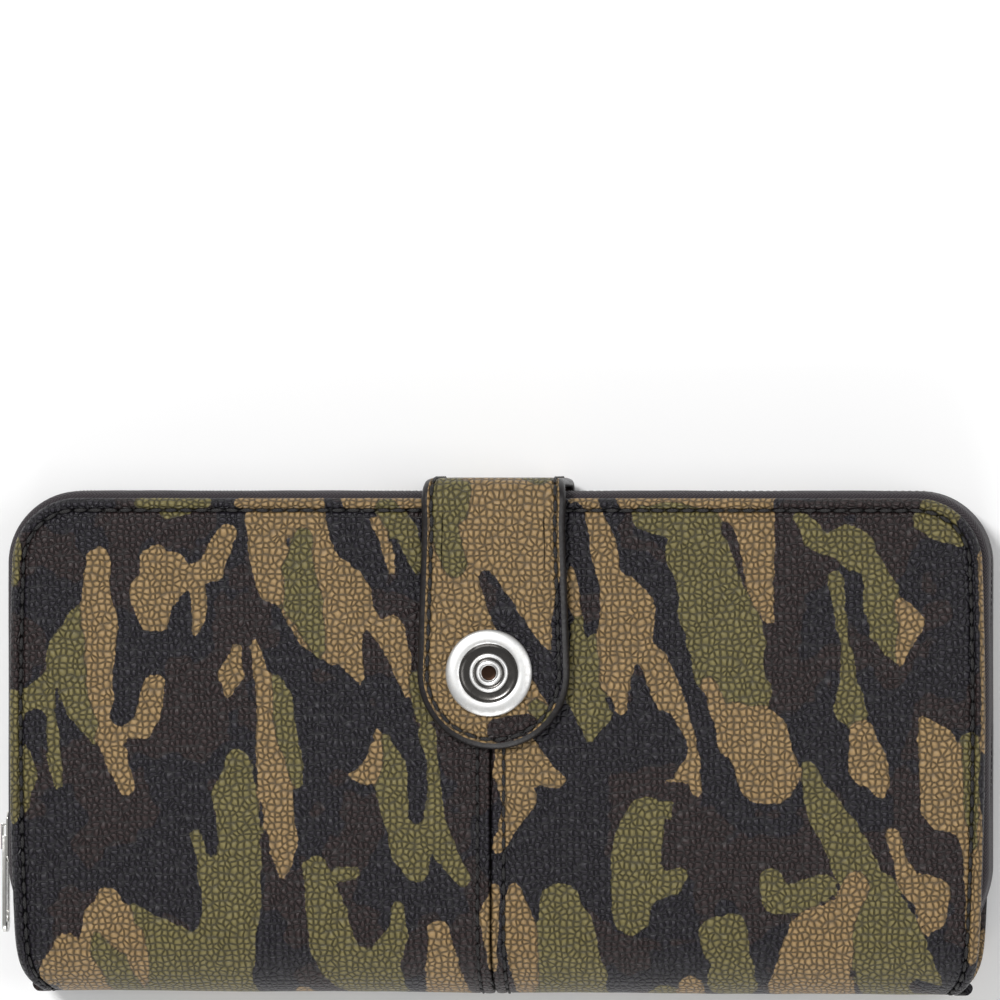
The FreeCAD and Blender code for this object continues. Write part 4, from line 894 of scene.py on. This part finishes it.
zipper = {"halfWidth": 96.0, "straightEnd": -24.0, "tuck": 4.6, "tuckLength": 18.0,
          "cloth": 0.25, "wallU": 1.1, "bendU": -1.0, "flangeZ": 2.55, "coilZ": 12.0,
          "toothPitch": 1.4, "toothWidth": 0.62, "toothReach": 1.0, "toothTall": 2.3, "toothU": 1.0}


def zipRoute(step=1.2):
    # points, outward normals, run and tuck, from the left end over the top to the right end
    radius = cover["cornerRadius"]
    bottom, turnY = zipper["straightEnd"] - zipper["tuckLength"], cover["topY"] - radius
    centreX = zipper["halfWidth"] - radius
    half = [((zipper["halfWidth"], y), (1.0, 0.0)) for y in np.arange(bottom, turnY, step)]
    for k in range(0, 19):
        a = math.radians(5 * k)
        half.append(((centreX + radius * math.cos(a), turnY + radius * math.sin(a)),
                     (math.cos(a), math.sin(a))))
    half += [((x, cover["topY"]), (0.0, 1.0)) for x in np.arange(centreX - step, 0, -step)]
    left = [((-x, y), (-nx, ny)) for (x, y), (nx, ny) in half]
    whole = left + half[::-1]
    base, out = np.array([p for p, _ in whole]), np.array([n for _, n in whole])
    run = lengthAlong(base)
    far = np.clip((zipper["straightEnd"] - base[:, 1]) / zipper["tuckLength"], 0, 1)
    return base, out, run, -zipper["tuck"] * far ** 2 * (3 - 2 * far)


def sweepBand(name, profile, finish, front, sway=0.0):
    base, out, run, tuck = zipRoute()
    profile = np.array(profile)
    around = lengthAlong(profile)
    points, uv = [], []
    count = len(profile)
    for i in range(len(base)):
        lift = sway * math.sin(run[i] / 5.5 + (1.3 if front else 0)) * np.clip((profile[:, 1] - 3) / 9, 0, 1)
        u = profile[:, 0] + tuck[i] * np.clip((profile[:, 0] + 7) / 6, 0, 1) + lift
        place = base[i] + out[i] * u[:, None]
        z = cover["thickness"] - profile[:, 1] if front else profile[:, 1]
        points.append(np.column_stack([place, z]))
        uv.append(np.column_stack([np.full(count, run[i]), around]))
    faces = sweptFaces(len(base), count)
    return makePiece(name, np.vstack(points), faces, [finish], None, np.vstack(uv), smooth=60)


def tapeProfile():
    # the cloth starts under the lining, turns up out of the cover and ends in the teeth
    centre, bend = zipper["bendU"], 2.1
    middle = [(-7.0, zipper["flangeZ"], 0, 1), (-4.0, zipper["flangeZ"], 0, 1)]
    for k in range(0, 10):
        a = math.radians(10 * k)
        middle.append((centre + bend * math.sin(a), zipper["flangeZ"] + bend * (1 - math.cos(a)),
                       -math.sin(a), math.cos(a)))
    middle += [(zipper["wallU"], z, -1, 0) for z in (6.0, 8.0, 9.6, 10.4, 11.0, zipper["coilZ"])]
    t = zipper["cloth"]
    inner = [(u + nu * t, z + nz * t) for u, z, nu, nz in middle]
    outer = [(u - nu * t, z - nz * t) for u, z, nu, nz in middle]
    return outer + inner[::-1]


for front in (False, True):
    side = "front" if front else "back"
    tape = sweepBand(side + "ZipTape", tapeProfile(), tapeFinish, front, sway=0.12)
    mount(tape, side, "zip_tape_" + side)


# one tree for everything that repeats along a line: stitches, and the zip's teeth

def repeatTree():
    tree = bpy.data.node_groups.new("repeatAlongLine", "GeometryNodeTree")
    sockets = tree.interface
    sockets.new_socket("Line", in_out="INPUT", socket_type="NodeSocketGeometry")
    for label in ("Length", "Width", "Height", "Pitch", "Lean"):
        sockets.new_socket(label, in_out="INPUT", socket_type="NodeSocketFloat")
    sockets.new_socket("Seed", in_out="INPUT", socket_type="NodeSocketInt")
    sockets.new_socket("Finish", in_out="INPUT", socket_type="NodeSocketMaterial")
    sockets.new_socket("Geometry", in_out="OUTPUT", socket_type="NodeSocketGeometry")
    given, result = tree.nodes.new("NodeGroupInput"), tree.nodes.new("NodeGroupOutput")
    curve = node(tree, "GeometryNodeMeshToCurve", {"Mesh": given.outputs["Line"]})
    spaced = node(tree, "GeometryNodeResampleCurve", mode="LENGTH")
    tree.links.new(curve.outputs[0], spaced.inputs["Curve"])
    tree.links.new(given.outputs["Pitch"], spaced.inputs["Length"])
    ball = node(tree, "GeometryNodeMeshUVSphere", {"Segments": 8, "Rings": 5, "Radius": 0.5})
    size = node(tree, "ShaderNodeCombineXYZ", {0: given.outputs["Length"], 1: given.outputs["Width"],
                                               2: given.outputs["Height"]})
    tangent = node(tree, "GeometryNodeInputTangent")
    aligned = node(tree, "FunctionNodeAlignRotationToVector", {"Vector": tangent.outputs[0]}, axis="X",
                   pivot_axis="AUTO")
    chance = node(tree, "FunctionNodeRandomValue", data_type="FLOAT")
    tree.links.new(given.outputs["Seed"], chance.inputs["Seed"])
    chance.inputs[2].default_value, chance.inputs[3].default_value = -0.06, 0.06
    turnBy = node(tree, "ShaderNodeCombineXYZ",
                  {2: maths(tree, "ADD", chance.outputs[1], given.outputs["Lean"])})
    tilt = node(tree, "FunctionNodeEulerToRotation", {0: turnBy.outputs[0]})
    both = node(tree, "FunctionNodeRotateRotation", {0: aligned.outputs[0], 1: tilt.outputs[0]},
                rotation_space="LOCAL")
    placed = node(tree, "GeometryNodeInstanceOnPoints",
                  {"Points": spaced.outputs[0], "Instance": ball.outputs[0],
                   "Rotation": both.outputs[0], "Scale": size.outputs[0]})
    real = node(tree, "GeometryNodeRealizeInstances", {"Geometry": placed.outputs[0]})
    soft = node(tree, "GeometryNodeSetShadeSmooth", {"Geometry": real.outputs[0]})
    done = node(tree, "GeometryNodeSetMaterial", {"Geometry": soft.outputs[0]})
    tree.links.new(given.outputs["Finish"], done.inputs["Material"])
    tree.links.new(done.outputs[0], result.inputs[0])
    return tree


repeatGroup = repeatTree()


def repeatAlong(name, lines, length, width, height, pitch, finish, lean=0.0, seed=3):
    points, edges = [], []
    for line in lines:
        start = len(points)
        points += [tuple(float(c) * mm for c in p) for p in line]
        edges += [(start + i, start + i + 1) for i in range(len(line) - 1)]
    mesh = bpy.data.meshes.new(name)
    mesh.from_pydata(points, edges, [])
    piece = bpy.data.objects.new(name, mesh)
    bpy.context.scene.collection.objects.link(piece)
    worker = piece.modifiers.new("repeat", "NODES")
    worker.node_group = repeatGroup
    values = {"Length": length * mm, "Width": width * mm, "Height": height * mm, "Pitch": pitch * mm,
              "Lean": lean, "Seed": seed, "Finish": finish}
    for item in repeatGroup.interface.items_tree:
        if item.item_type == "SOCKET" and item.in_out == "INPUT" and item.name in values:
            worker[item.identifier] = values[item.name]
    view = bpy.context.evaluated_depsgraph_get()
    plain = bpy.data.meshes.new_from_object(piece.evaluated_get(view))
    plain.name = name
    piece.modifiers.remove(worker)
    piece.data = plain
    return piece


stitch = {"length": 2.75, "width": 0.85, "height": 0.6, "pitch": 3.0}
fineStitch = {"length": 2.0, "width": 0.5, "height": 0.36, "pitch": 2.7}       # inside


def sew(name, lines, seed=3, size=stitch):
    return repeatAlong(name, lines, size["length"], size["width"], size["height"], size["pitch"], threadDark,
                       seed=seed)


def skinLine(side, face, inset):
    path, inward = rimRoute(side, skinRows, skinColumns)
    points = np.array(path) + np.array(inward) * inset
    return wrapSkin(cover["seamX"] + side * points[:, 0], face * points[:, 1],
                    np.full(len(points), -0.12 - (0.12 if face < 0 else 0)))


for face, where in ((1, "front"), (-1, "back")):
    rows = []
    for side in (1, -1):
        rows.append(skinLine(side, face, cover["stitchInset"]))
        v = np.arange(0.4, skinTop - 2.6, 1.1)
        rows.append(wrapSkin(np.full(len(v), cover["seamX"] + side * cover["topstitch"]), face * v,
                             np.full(len(v), -0.02 - (0.12 if face < 0 else 0))))
    thread = sew(where + "Stitches", rows, seed=5 + face)
    overFold(thread)

route = strapRoute(strap["splitAt"])
line = np.array([p for p, _ in route]) + np.array([n for _, n in route]) * strap["stitchInset"]
thread = sew("tongueStitches", [wrapStrap(line[:, 0], line[:, 1], np.full(len(line), -0.02))])
overFold(thread)
lines = []
for side in (-1, 1):
    ts = np.linspace(strap["splitAt"] + 1, strap["rootAt"] - 0.5, 14)
    lines.append(wrapStrap([side * (strapHalf(t) - strap["stitchInset"]) for t in ts], ts,
                           np.full(len(ts), -0.02)))
thread = sew("bridgeStitches", lines)
overFold(thread)

base, out, _, tuck = zipRoute(0.7)
for front in (False, True):
    side = "front" if front else "back"
    z = 12.5 + (0.75 if front else -0.75)
    place = base + out * (zipper["toothU"] + tuck)[:, None]
    place = place[(1 if front else 0):]
    line = np.column_stack([place, np.full(len(place), z)])
    teeth = repeatAlong(side + "ZipTeeth", [line], zipper["toothWidth"], zipper["toothReach"],
                        zipper["toothTall"],
                        zipper["toothPitch"], teethFinish)
    mount(teeth, side, "zip_coil_" + side)
print("stitched and zipped")


# inside: linings, pockets and the coin leaf, all with turned and stitched edges

pocketFinish = plainLeather("pocketLeather", tint(46, 40, 40), tint(33, 28, 29), 0.85, 0.00008)
liningFinish = wovenTape("liningCloth", tint(52, 48, 52), tint(27, 25, 28))
steel = metalFinish("zipMetal", (0.78, 0.77, 0.74, 1.0), 0.16)


def clearFilm():
    material, tree, shader = newFinish("clearFilm")
    place = objectMillimetres(tree)
    haze = node(tree, "ShaderNodeTexNoise", {"Vector": place, "Scale": 0.1, "Detail": 3.0}).outputs["Fac"]
    bump = node(tree, "ShaderNodeBump", {"Strength": 0.25, "Distance": 0.0002, "Height": haze})
    tree.links.new(ramp(tree, haze, 0.3, 0.7, 0.06, 0.16), shader.inputs["Roughness"])
    tree.links.new(bump.outputs[0], shader.inputs["Normal"])
    shader.inputs["Base Color"].default_value = tint(222, 224, 222)
    shader.inputs["Alpha"].default_value = 0.22
    return material


filmFinish = clearFilm()
inside = {
    "thickness": 25.0, "columnX": 45.0, "columnHalf": 43.5, "pocketBottom": -33.0,
    "pocketTops": [38.0, 26.0, 14.0],
    "liningTop": 3.4, "slipTop": 3.8, "leafHalf": 84.0, "leafRoot": -44.0, "leafTop": 28.0, "leafFace": 15.4,
    "seamInset": 1.05, "window": 9.0, "film": 6.2, "gussetTop": 24.0,
    "lining": (-91, 91, -36, 44), "slip": (-89, 89, -34, 42), "cloth": 0.55, "pocket": 0.4,
    "spineInset": 1.66, "spineSink": 1.1, "spineCloth": 0.4, "spineReach": 3.4, "stitchSink": 0.02,
}


def turnedEdge(thickness):
    # (inset, height) from the face, over a thin folded edge with its seam groove, to the underside
    return [(1.7, 0.0), (1.35, 0.0), (1.05, -0.09), (0.75, 0.0), (0.3, 0.0), (0.08, -0.12 * thickness),
            (0.0, -0.5 * thickness), (0.08, -0.88 * thickness), (0.3, -thickness), (1.7, -thickness)]


def roundedPath(x0, x1, y0, y1, radius, lowRadius, perSide=40):
    corners = [(x1 - lowRadius, y0 + lowRadius, lowRadius, -90), (x1 - radius, y1 - radius, radius, 0),
               (x0 + radius, y1 - radius, radius, 90), (x0 + lowRadius, y0 + lowRadius, lowRadius, 180)]
    path, inward = [], []
    for which, (cx, cy, r, start) in enumerate(corners):
        for k in range(7):
            a = math.radians(start + 15 * k)
            path.append((cx + r * math.cos(a), cy + r * math.sin(a)))
            inward.append((-math.cos(a), -math.sin(a)))
        ax, ay = path[-1]
        nextX, nextY, nextR, nextStart = corners[(which + 1) % 4]
        bx = nextX + nextR * math.cos(math.radians(nextStart))
        by = nextY + nextR * math.sin(math.radians(nextStart))
        for k in range(1, perSide):
            path.append((ax + (bx - ax) * k / perSide, ay + (by - ay) * k / perSide))
            inward.append(inward[-1])
    return np.array(path), np.array(inward)


def flip(z, front):
    return inside["thickness"] - z if front else z


def softPanel(name, x0, x1, y0, y1, top, thickness, finish, front, radius=1.8, lowRadius=1.8, wave=0.05,
              swell=0.0, seed=1):
    path, inward = roundedPath(x0, x1, y0, y1, radius, lowRadius)
    grid = [(x, y) for x in np.arange(x0 + 2.6, x1 - 2.2, 2.6) for y in np.arange(y0 + 2.6, y1 - 2.2, 2.6)]
    flat, heights, uv, faces, _, zone = edgedPanel(
        path, inward, turnedEdge(thickness), [], grid, [], lambda p: np.zeros(len(p)),
        lambda p: np.full(len(p), -thickness), margin=0.7)
    share = np.clip(np.minimum(np.minimum(flat[:, 0] - x0, x1 - flat[:, 0]),
                               np.minimum(flat[:, 1] - y0, y1 - flat[:, 1])) / 12, 0, 1)
    loose = wave * ripple(flat[:, 0], flat[:, 1], 22, seed) * share + swell * share * (2 - share)
    heights = heights + np.where(zone == -1, loose, 0)
    return makePiece(name, np.column_stack([flat, flip(top + heights, front)]), faces, [finish], None, uv,
                     smooth=50)


def windowPocket(name, x0, x1, y0, y1, border, top, thickness, finish, front):
    outer, outerIn = roundedPath(x0, x1, y0, y1, 1.8, 1.8)
    inner, innerIn = roundedPath(x0 + border, x1 - border, y0 + border, y1 - border, 3.0, 3.0)
    edge = turnedEdge(thickness)
    rows, heights = [], []
    for d, h in edge[:7][::-1]:
        rows.append(outer + outerIn * d)
        heights.append(h)
    for share in (0.25, 0.5, 0.75):
        rows.append(outer + outerIn * 1.7 + (inner - innerIn * 1.7 - outer - outerIn * 1.7) * share)
        heights.append(0.04 if share == 0.5 else 0.02)
    for d, h in edge:
        rows.append(inner - innerIn * d)
        heights.append(h)
    for d, h in edge[7:][::-1]:
        rows.append(outer + outerIn * d)
        heights.append(h)
    count = len(outer)
    points = np.vstack([np.column_stack([r, np.full(count, flip(top + h, front))])
                        for r, h in zip(rows, heights)])
    faces = []
    for i in range(len(rows)):
        m = (i + 1) % len(rows)
        faces += [(i * count + j, i * count + (j + 1) % count, m * count + (j + 1) % count, m * count + j)
                  for j in range(count)]
    return makePiece(name, points, faces, [finish], None, points[:, :2], smooth=50)


def bandAlongX(name, profile, halfX, finish, place, step=3.0):
    profile = np.array(profile, float)
    around = lengthAlong(profile)
    xs = np.linspace(-halfX, halfX, int(2 * halfX / step) + 1)
    points, uv = [], []
    count = len(profile)
    for x in xs:
        points.append(place(np.full(count, x), profile[:, 0], profile[:, 1]))
        uv.append(np.column_stack([np.full(count, x), around]))
    faces = sweptFaces(len(xs), count)
    return makePiece(name, np.vstack(points), faces, [finish], None, np.vstack(uv), smooth=60)


def seamLoop(x0, x1, y0, y1, z, front, inset=None, openTop=False):
    inset = inset or inside["seamInset"]
    if openTop:     # the sides and bottom only
        corners = [(x1 - inset, y1 - 0.6), (x1 - inset, y0 + inset), (x0 + inset, y0 + inset),
                   (x0 + inset, y1 - 0.6)]
    else:
        corners = [(x0 + inset, y0 + inset), (x1 - inset, y0 + inset), (x1 - inset, y1 - inset),
                   (x0 + inset, y1 - inset),
                   (x0 + inset, y0 + inset)]
    return [(x, y, flip(z, front)) for x, y in corners]


def topSeam(x0, x1, y, z, front):
    return [(x0 + 1.5, y - inside["seamInset"], flip(z, front)),
            (x1 - 1.5, y - inside["seamInset"], flip(z, front))]


def fitOut(front):
    # one cover's inside; the front's left column is the window pocket
    side = "front" if front else "back"
    sunk, seams = inside["stitchSink"], []
    lining = softPanel(side + "Lining", *inside["lining"], inside["liningTop"], inside["cloth"],
                       liningFinish, front, 8, 1.8, 0.04, seed=21)
    mount(lining, side, side + "_lining")
    seams.append(seamLoop(*inside["lining"], inside["liningTop"] - sunk, front, inset=2.6)[:2])
    slip = softPanel(side + "SlipPocket", *inside["slip"], inside["slipTop"], inside["pocket"], pocketFinish,
                     front, 3, 1.8, 0.04, seed=23)
    mount(slip, side, side + "_slip_pocket")
    seams.append(seamLoop(*inside["slip"], inside["slipTop"] - sunk, front))
    for hand, sign in (("left", -1), ("right", 1)):
        x0, x1 = (sign * inside["columnX"] - inside["columnHalf"],
                  sign * inside["columnX"] + inside["columnHalf"])
        y0 = inside["pocketBottom"]
        if front and sign < 0:
            top, z = inside["pocketTops"][0] - 10, inside["slipTop"] + 0.8
            pocket = windowPocket("windowPocket", x0, x1, y0, top, inside["window"], z, 0.75, pocketFinish,
                                  front)
            mount(pocket, side, "front_id_pocket")
            film = softPanel("windowFilm", x0 + inside["film"], x1 - inside["film"], y0 + inside["film"],
                             top - inside["film"],
                             z - 0.42, 0.3, filmFinish, front, 3, 3, 0.06, seed=27)
            mount(film, side, "front_id_window")
            seams.append(seamLoop(x0, x1, y0, top, z - sunk, front))
            seams.append(seamLoop(x0 + 6.9, x1 - 6.9, y0 + 6.9, top - 6.9, z - sunk, front))
            continue
        for level, top in enumerate(inside["pocketTops"]):
            z = inside["slipTop"] + inside["pocket"] * (level + 1)
            name = side + "Card" + hand.capitalize() + str(level + 1)
            pocket = softPanel(name, x0, x1, y0, top, z, inside["pocket"], pocketFinish, front, 1.8, 1.8,
                               0.035, 0.05, seed=30 + level + sign)
            mount(pocket, side, f"{side}_card_pocket_{hand}_{level + 1}")
            seams.append(topSeam(x0, x1, top, z - sunk, front))
            seams.append(seamLoop(x0, x1, y0, top, z - sunk, front, openTop=True))
    thread = sew(side + "InnerStitches", seams, seed=9, size=fineStitch)
    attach(thread, side)


for front in (False, True):
    fitOut(front)
for face, where in ((-1, "back"), (1, "front")):
    reach = halfArc + inside["spineReach"]
    sink = [(v, -inside["spineInset"] - inside["spineSink"] * np.clip((v - 8) / (reach - 8), 0, 1) ** 1.5)
            for v in np.linspace(0.0, reach, 24)]
    profile = sink + [(v, h - inside["spineCloth"]) for v, h in sink[::-1]]
    cloth = bandAlongX("spineLining" + where.capitalize(), profile, inside["lining"][1], liningFinish,
                       lambda x, v, h: wrapSkin(x, face * v, h - 0.08 * (1 + ripple(x, v, 16, 41))))
    overFold(cloth)
    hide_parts("spine_lining")

seams = []
for front in (False, True):
    side = "back" if front else "front"     # the panel that faces the back cover looks down
    half, root, top = inside["leafHalf"], inside["leafRoot"], inside["leafTop"]
    panel = softPanel("coinPanel" + side.capitalize(), -half, half, root, top, inside["leafFace"], 0.6,
                      pocketFinish, front, 4, 1.8,
                      0.09, 0.12, seed=51)
    mount(panel, "spine", f"coin_pocket_{side}_panel")
    seams.append(seamLoop(-half, half, root, top, inside["leafFace"] - inside["stitchSink"], front))
    seams.append(seamLoop(-half, half, root, top, inside["leafFace"] + 0.06, front, inset=6.5)[2:4])
    tapeLine = [(22.0, 10.3), (26.0, 10.3), (28.0, 10.34), (28.8, 10.6), (29.1, 11.1), (29.15, 11.9)]
    profile = tapeLine + [(y + 0.3, z) if z > 10.5 else (y, z + 0.34) for y, z in tapeLine[::-1]]
    tape = bandAlongX("coinTape" + side.capitalize(), profile, 82, tapeFinish,
                      lambda x, y, z: np.column_stack([x, y, flip(z, not front)]))
    mount(tape, "spine", "coin_zip_tape_" + side)
    offset = 0.6 if front else 0.0
    line = [(x + offset, 29.3, flip(11.95, not front)) for x in (-79.5, 0.0, 79.0)]
    teeth = repeatAlong("coinTeeth" + side.capitalize(), [line], 0.58, 1.2, 1.5, 1.2, teethFinish)
    mount(teeth, "spine", "coin_zip_coil_" + side)
thread = sew("coinLeafStitches", seams, seed=13, size=fineStitch)
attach(thread, "spine")


def pleatedGusset():
    # a folded strip that closes the leaf's two ends and its root
    half, root, top, turn = inside["leafHalf"] - 0.3, inside["leafRoot"] + 0.3, inside["gussetTop"], 4.0
    path = [((half, y), (-1.0, 0.0)) for y in np.arange(top, root + turn, -2.5)]
    for k in range(0, 10):
        a = math.radians(-10 * k)
        path.append(((half - turn + turn * math.cos(a), root + turn + turn * math.sin(a)),
                     (-math.cos(a), -math.sin(a))))
    path += [((x, root), (0.0, 1.0)) for x in np.arange(half - turn - 3, 0, -3)]
    path = path + [((-x, y), (-nx, ny)) for (x, y), (nx, ny) in path[::-1]]
    middle = [(0.0, 10.3), (0.05, 10.7), (0.7, 11.5), (1.5, 12.2), (1.7, 12.5), (1.5, 12.8), (0.7, 13.5),
              (0.05, 14.3), (0.0, 14.7)]
    profile = middle + [(d + 0.45, z) for d, z in middle[::-1]]
    count = len(profile)
    points = np.vstack([[(p[0] + n[0] * d, p[1] + n[1] * d, z) for d, z in profile] for p, n in path])
    faces = sweptFaces(len(path), count)
    return makePiece("coinGusset", points, faces, [pocketFinish], None, points[:, :2], smooth=60)


gusset = pleatedGusset()
mount(gusset, "spine", "coin_pocket_gusset")
strip = bandAlongX("leafRootStrip",
                   [(-46.9, 12.0), (-46.6, 11.76), (-45.6, 11.72), (-44.2, 11.9), (-44.0, 12.2),
                    (-44.0, 12.8), (-44.2, 13.1), (-45.6, 13.28), (-46.6, 13.24), (-46.9, 13.0)],
                   inside["leafHalf"], pocketFinish,
                   lambda x, y, z: np.column_stack([x, y, z]))
mount(strip, "spine", "leaf_root_strip")
print("inside fitted")


def easedMetal(name, source, body, width):
    # a copy of the metal part with its edges rounded over
    work = bmesh.new()
    work.from_mesh(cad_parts[source].data)
    bmesh.ops.remove_doubles(work, verts=work.verts, dist=1e-6)
    bmesh.ops.dissolve_limit(work, angle_limit=math.radians(2), verts=work.verts, edges=work.edges)
    sharp = [e for e in work.edges if e.calc_face_angle(0.0) > math.radians(35)]
    bmesh.ops.bevel(work, geom=sharp, offset=width * mm, segments=2, profile=0.6, affect="EDGES",
                    clamp_overlap=True)
    mesh = bpy.data.meshes.new(name)
    work.to_mesh(mesh)
    work.free()
    mesh.materials.clear()
    mesh.materials.append(steel)
    mesh.polygons.foreach_set("material_index", np.zeros(len(mesh.polygons), np.int32))
    mesh.polygons.foreach_set("use_smooth", np.ones(len(mesh.polygons), bool))
    mesh.set_sharp_from_angle(angle=math.radians(32))
    piece = bpy.data.objects.new(name, mesh)
    bpy.context.scene.collection.objects.link(piece)
    mount(piece, body, source)


for name, source, body, width in (("zipSlider", "zip_slider", "zip_slider", 0.14),
                                  ("zipPull", "zip_pull", "zip_pull", 0.16),
                                  ("coinSlider", "coin_zip_slider", "coin_slider", 0.12),
                                  ("coinPull", "coin_zip_pull", "coin_pull", 0.12),
                                  ("coinStops", "coin_zip_stops", "spine", 0.2)):
    easedMetal(name, source, body, width)
for name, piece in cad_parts.items():
    if not piece.hide_render:       # what is left is metal or the boards under the lining
        piece.data.materials.clear()
        piece.data.materials.append(nickel if "snap" in name else pocketFinish)
        print("kept as it is:", name)
print("metal eased")


# floor, light and camera

studio = {
    "floorZ": -0.35, "floorHalf": 1500.0, "world": 0.34, "sensor": 36.0,
    "aimX": 0.6, "aimY": 48.6, "aimZ": 20.0, "distance": 2000.0,
    "leanX": 5.5, "leanY": 0.3, "frameWidth": 197.6,
    # each light's size in metres, power in watts and place in metres
    "lights": {"keyLight": (0.32, 12.5, (-0.45, 0.62, 1.15)),
               "fillLight": (0.8, 4.5, (0.8, 0.1, 1.1)),
               "spineLight": (0.7, 3.6, (0.0, -0.85, 0.45))},
}


def paleFloor():
    material, tree, shader = newFinish("paleFloor")
    place = objectMillimetres(tree)
    faint = node(tree, "ShaderNodeTexNoise", {"Vector": place, "Scale": 0.01, "Detail": 2.0}).outputs["Fac"]
    colour = blendColour(tree, faint, (0.93, 0.93, 0.93, 1), (0.96, 0.96, 0.96, 1))
    tree.links.new(colour, shader.inputs["Base Color"])
    shader.inputs["Roughness"].default_value = 0.9
    half, z = studio["floorHalf"], studio["floorZ"]
    floor = makePiece("floor", [(-half, -half, z), (half, -half, z), (half, half, z), (-half, half, z)],
                      [(0, 1, 2, 3)], [material], recalc=False)


def softLight(name, size, power, place, aim=(0, 0, 0.01)):
    lamp = bpy.data.lights.new(name, "AREA")
    lamp.shape, lamp.size, lamp.energy = "SQUARE", size, power
    lantern = bpy.data.objects.new(name, lamp)
    bpy.context.scene.collection.objects.link(lantern)
    lantern.location = place
    lantern.rotation_euler = (Vector(aim) - Vector(place)).to_track_quat("-Z", "Y").to_euler()


paleFloor()
world = bpy.data.worlds.new("studio")
world.use_nodes = True
world.node_tree.nodes["Background"].inputs[0].default_value = (1, 1, 1, 1)
world.node_tree.nodes["Background"].inputs[1].default_value = studio["world"]
bpy.context.scene.world = world
for name, (size, power, place) in studio["lights"].items():
    softLight(name, size, power, place)
bpy.context.scene.view_settings.view_transform = "Standard"

lens = bpy.data.cameras.new("camera")
lens.sensor_width = studio["sensor"]
lens.lens = studio["sensor"] * studio["distance"] / studio["frameWidth"]
lens.clip_end = 10
eye = bpy.data.objects.new("camera", lens)
bpy.context.scene.collection.objects.link(eye)
aim = Vector((studio["aimX"], studio["aimY"], studio["aimZ"])) * mm
direction = Vector((math.tan(math.radians(studio["leanX"])),
                    math.tan(math.radians(studio["leanY"])), 1)).normalized()
eye.location = aim + direction * studio["distance"] * mm
right = Vector((0, 1, 0)).cross(direction).normalized()
up = direction.cross(right)
eye.rotation_euler = Matrix((right, up, direction)).transposed().to_euler()
bpy.context.scene.camera = eye
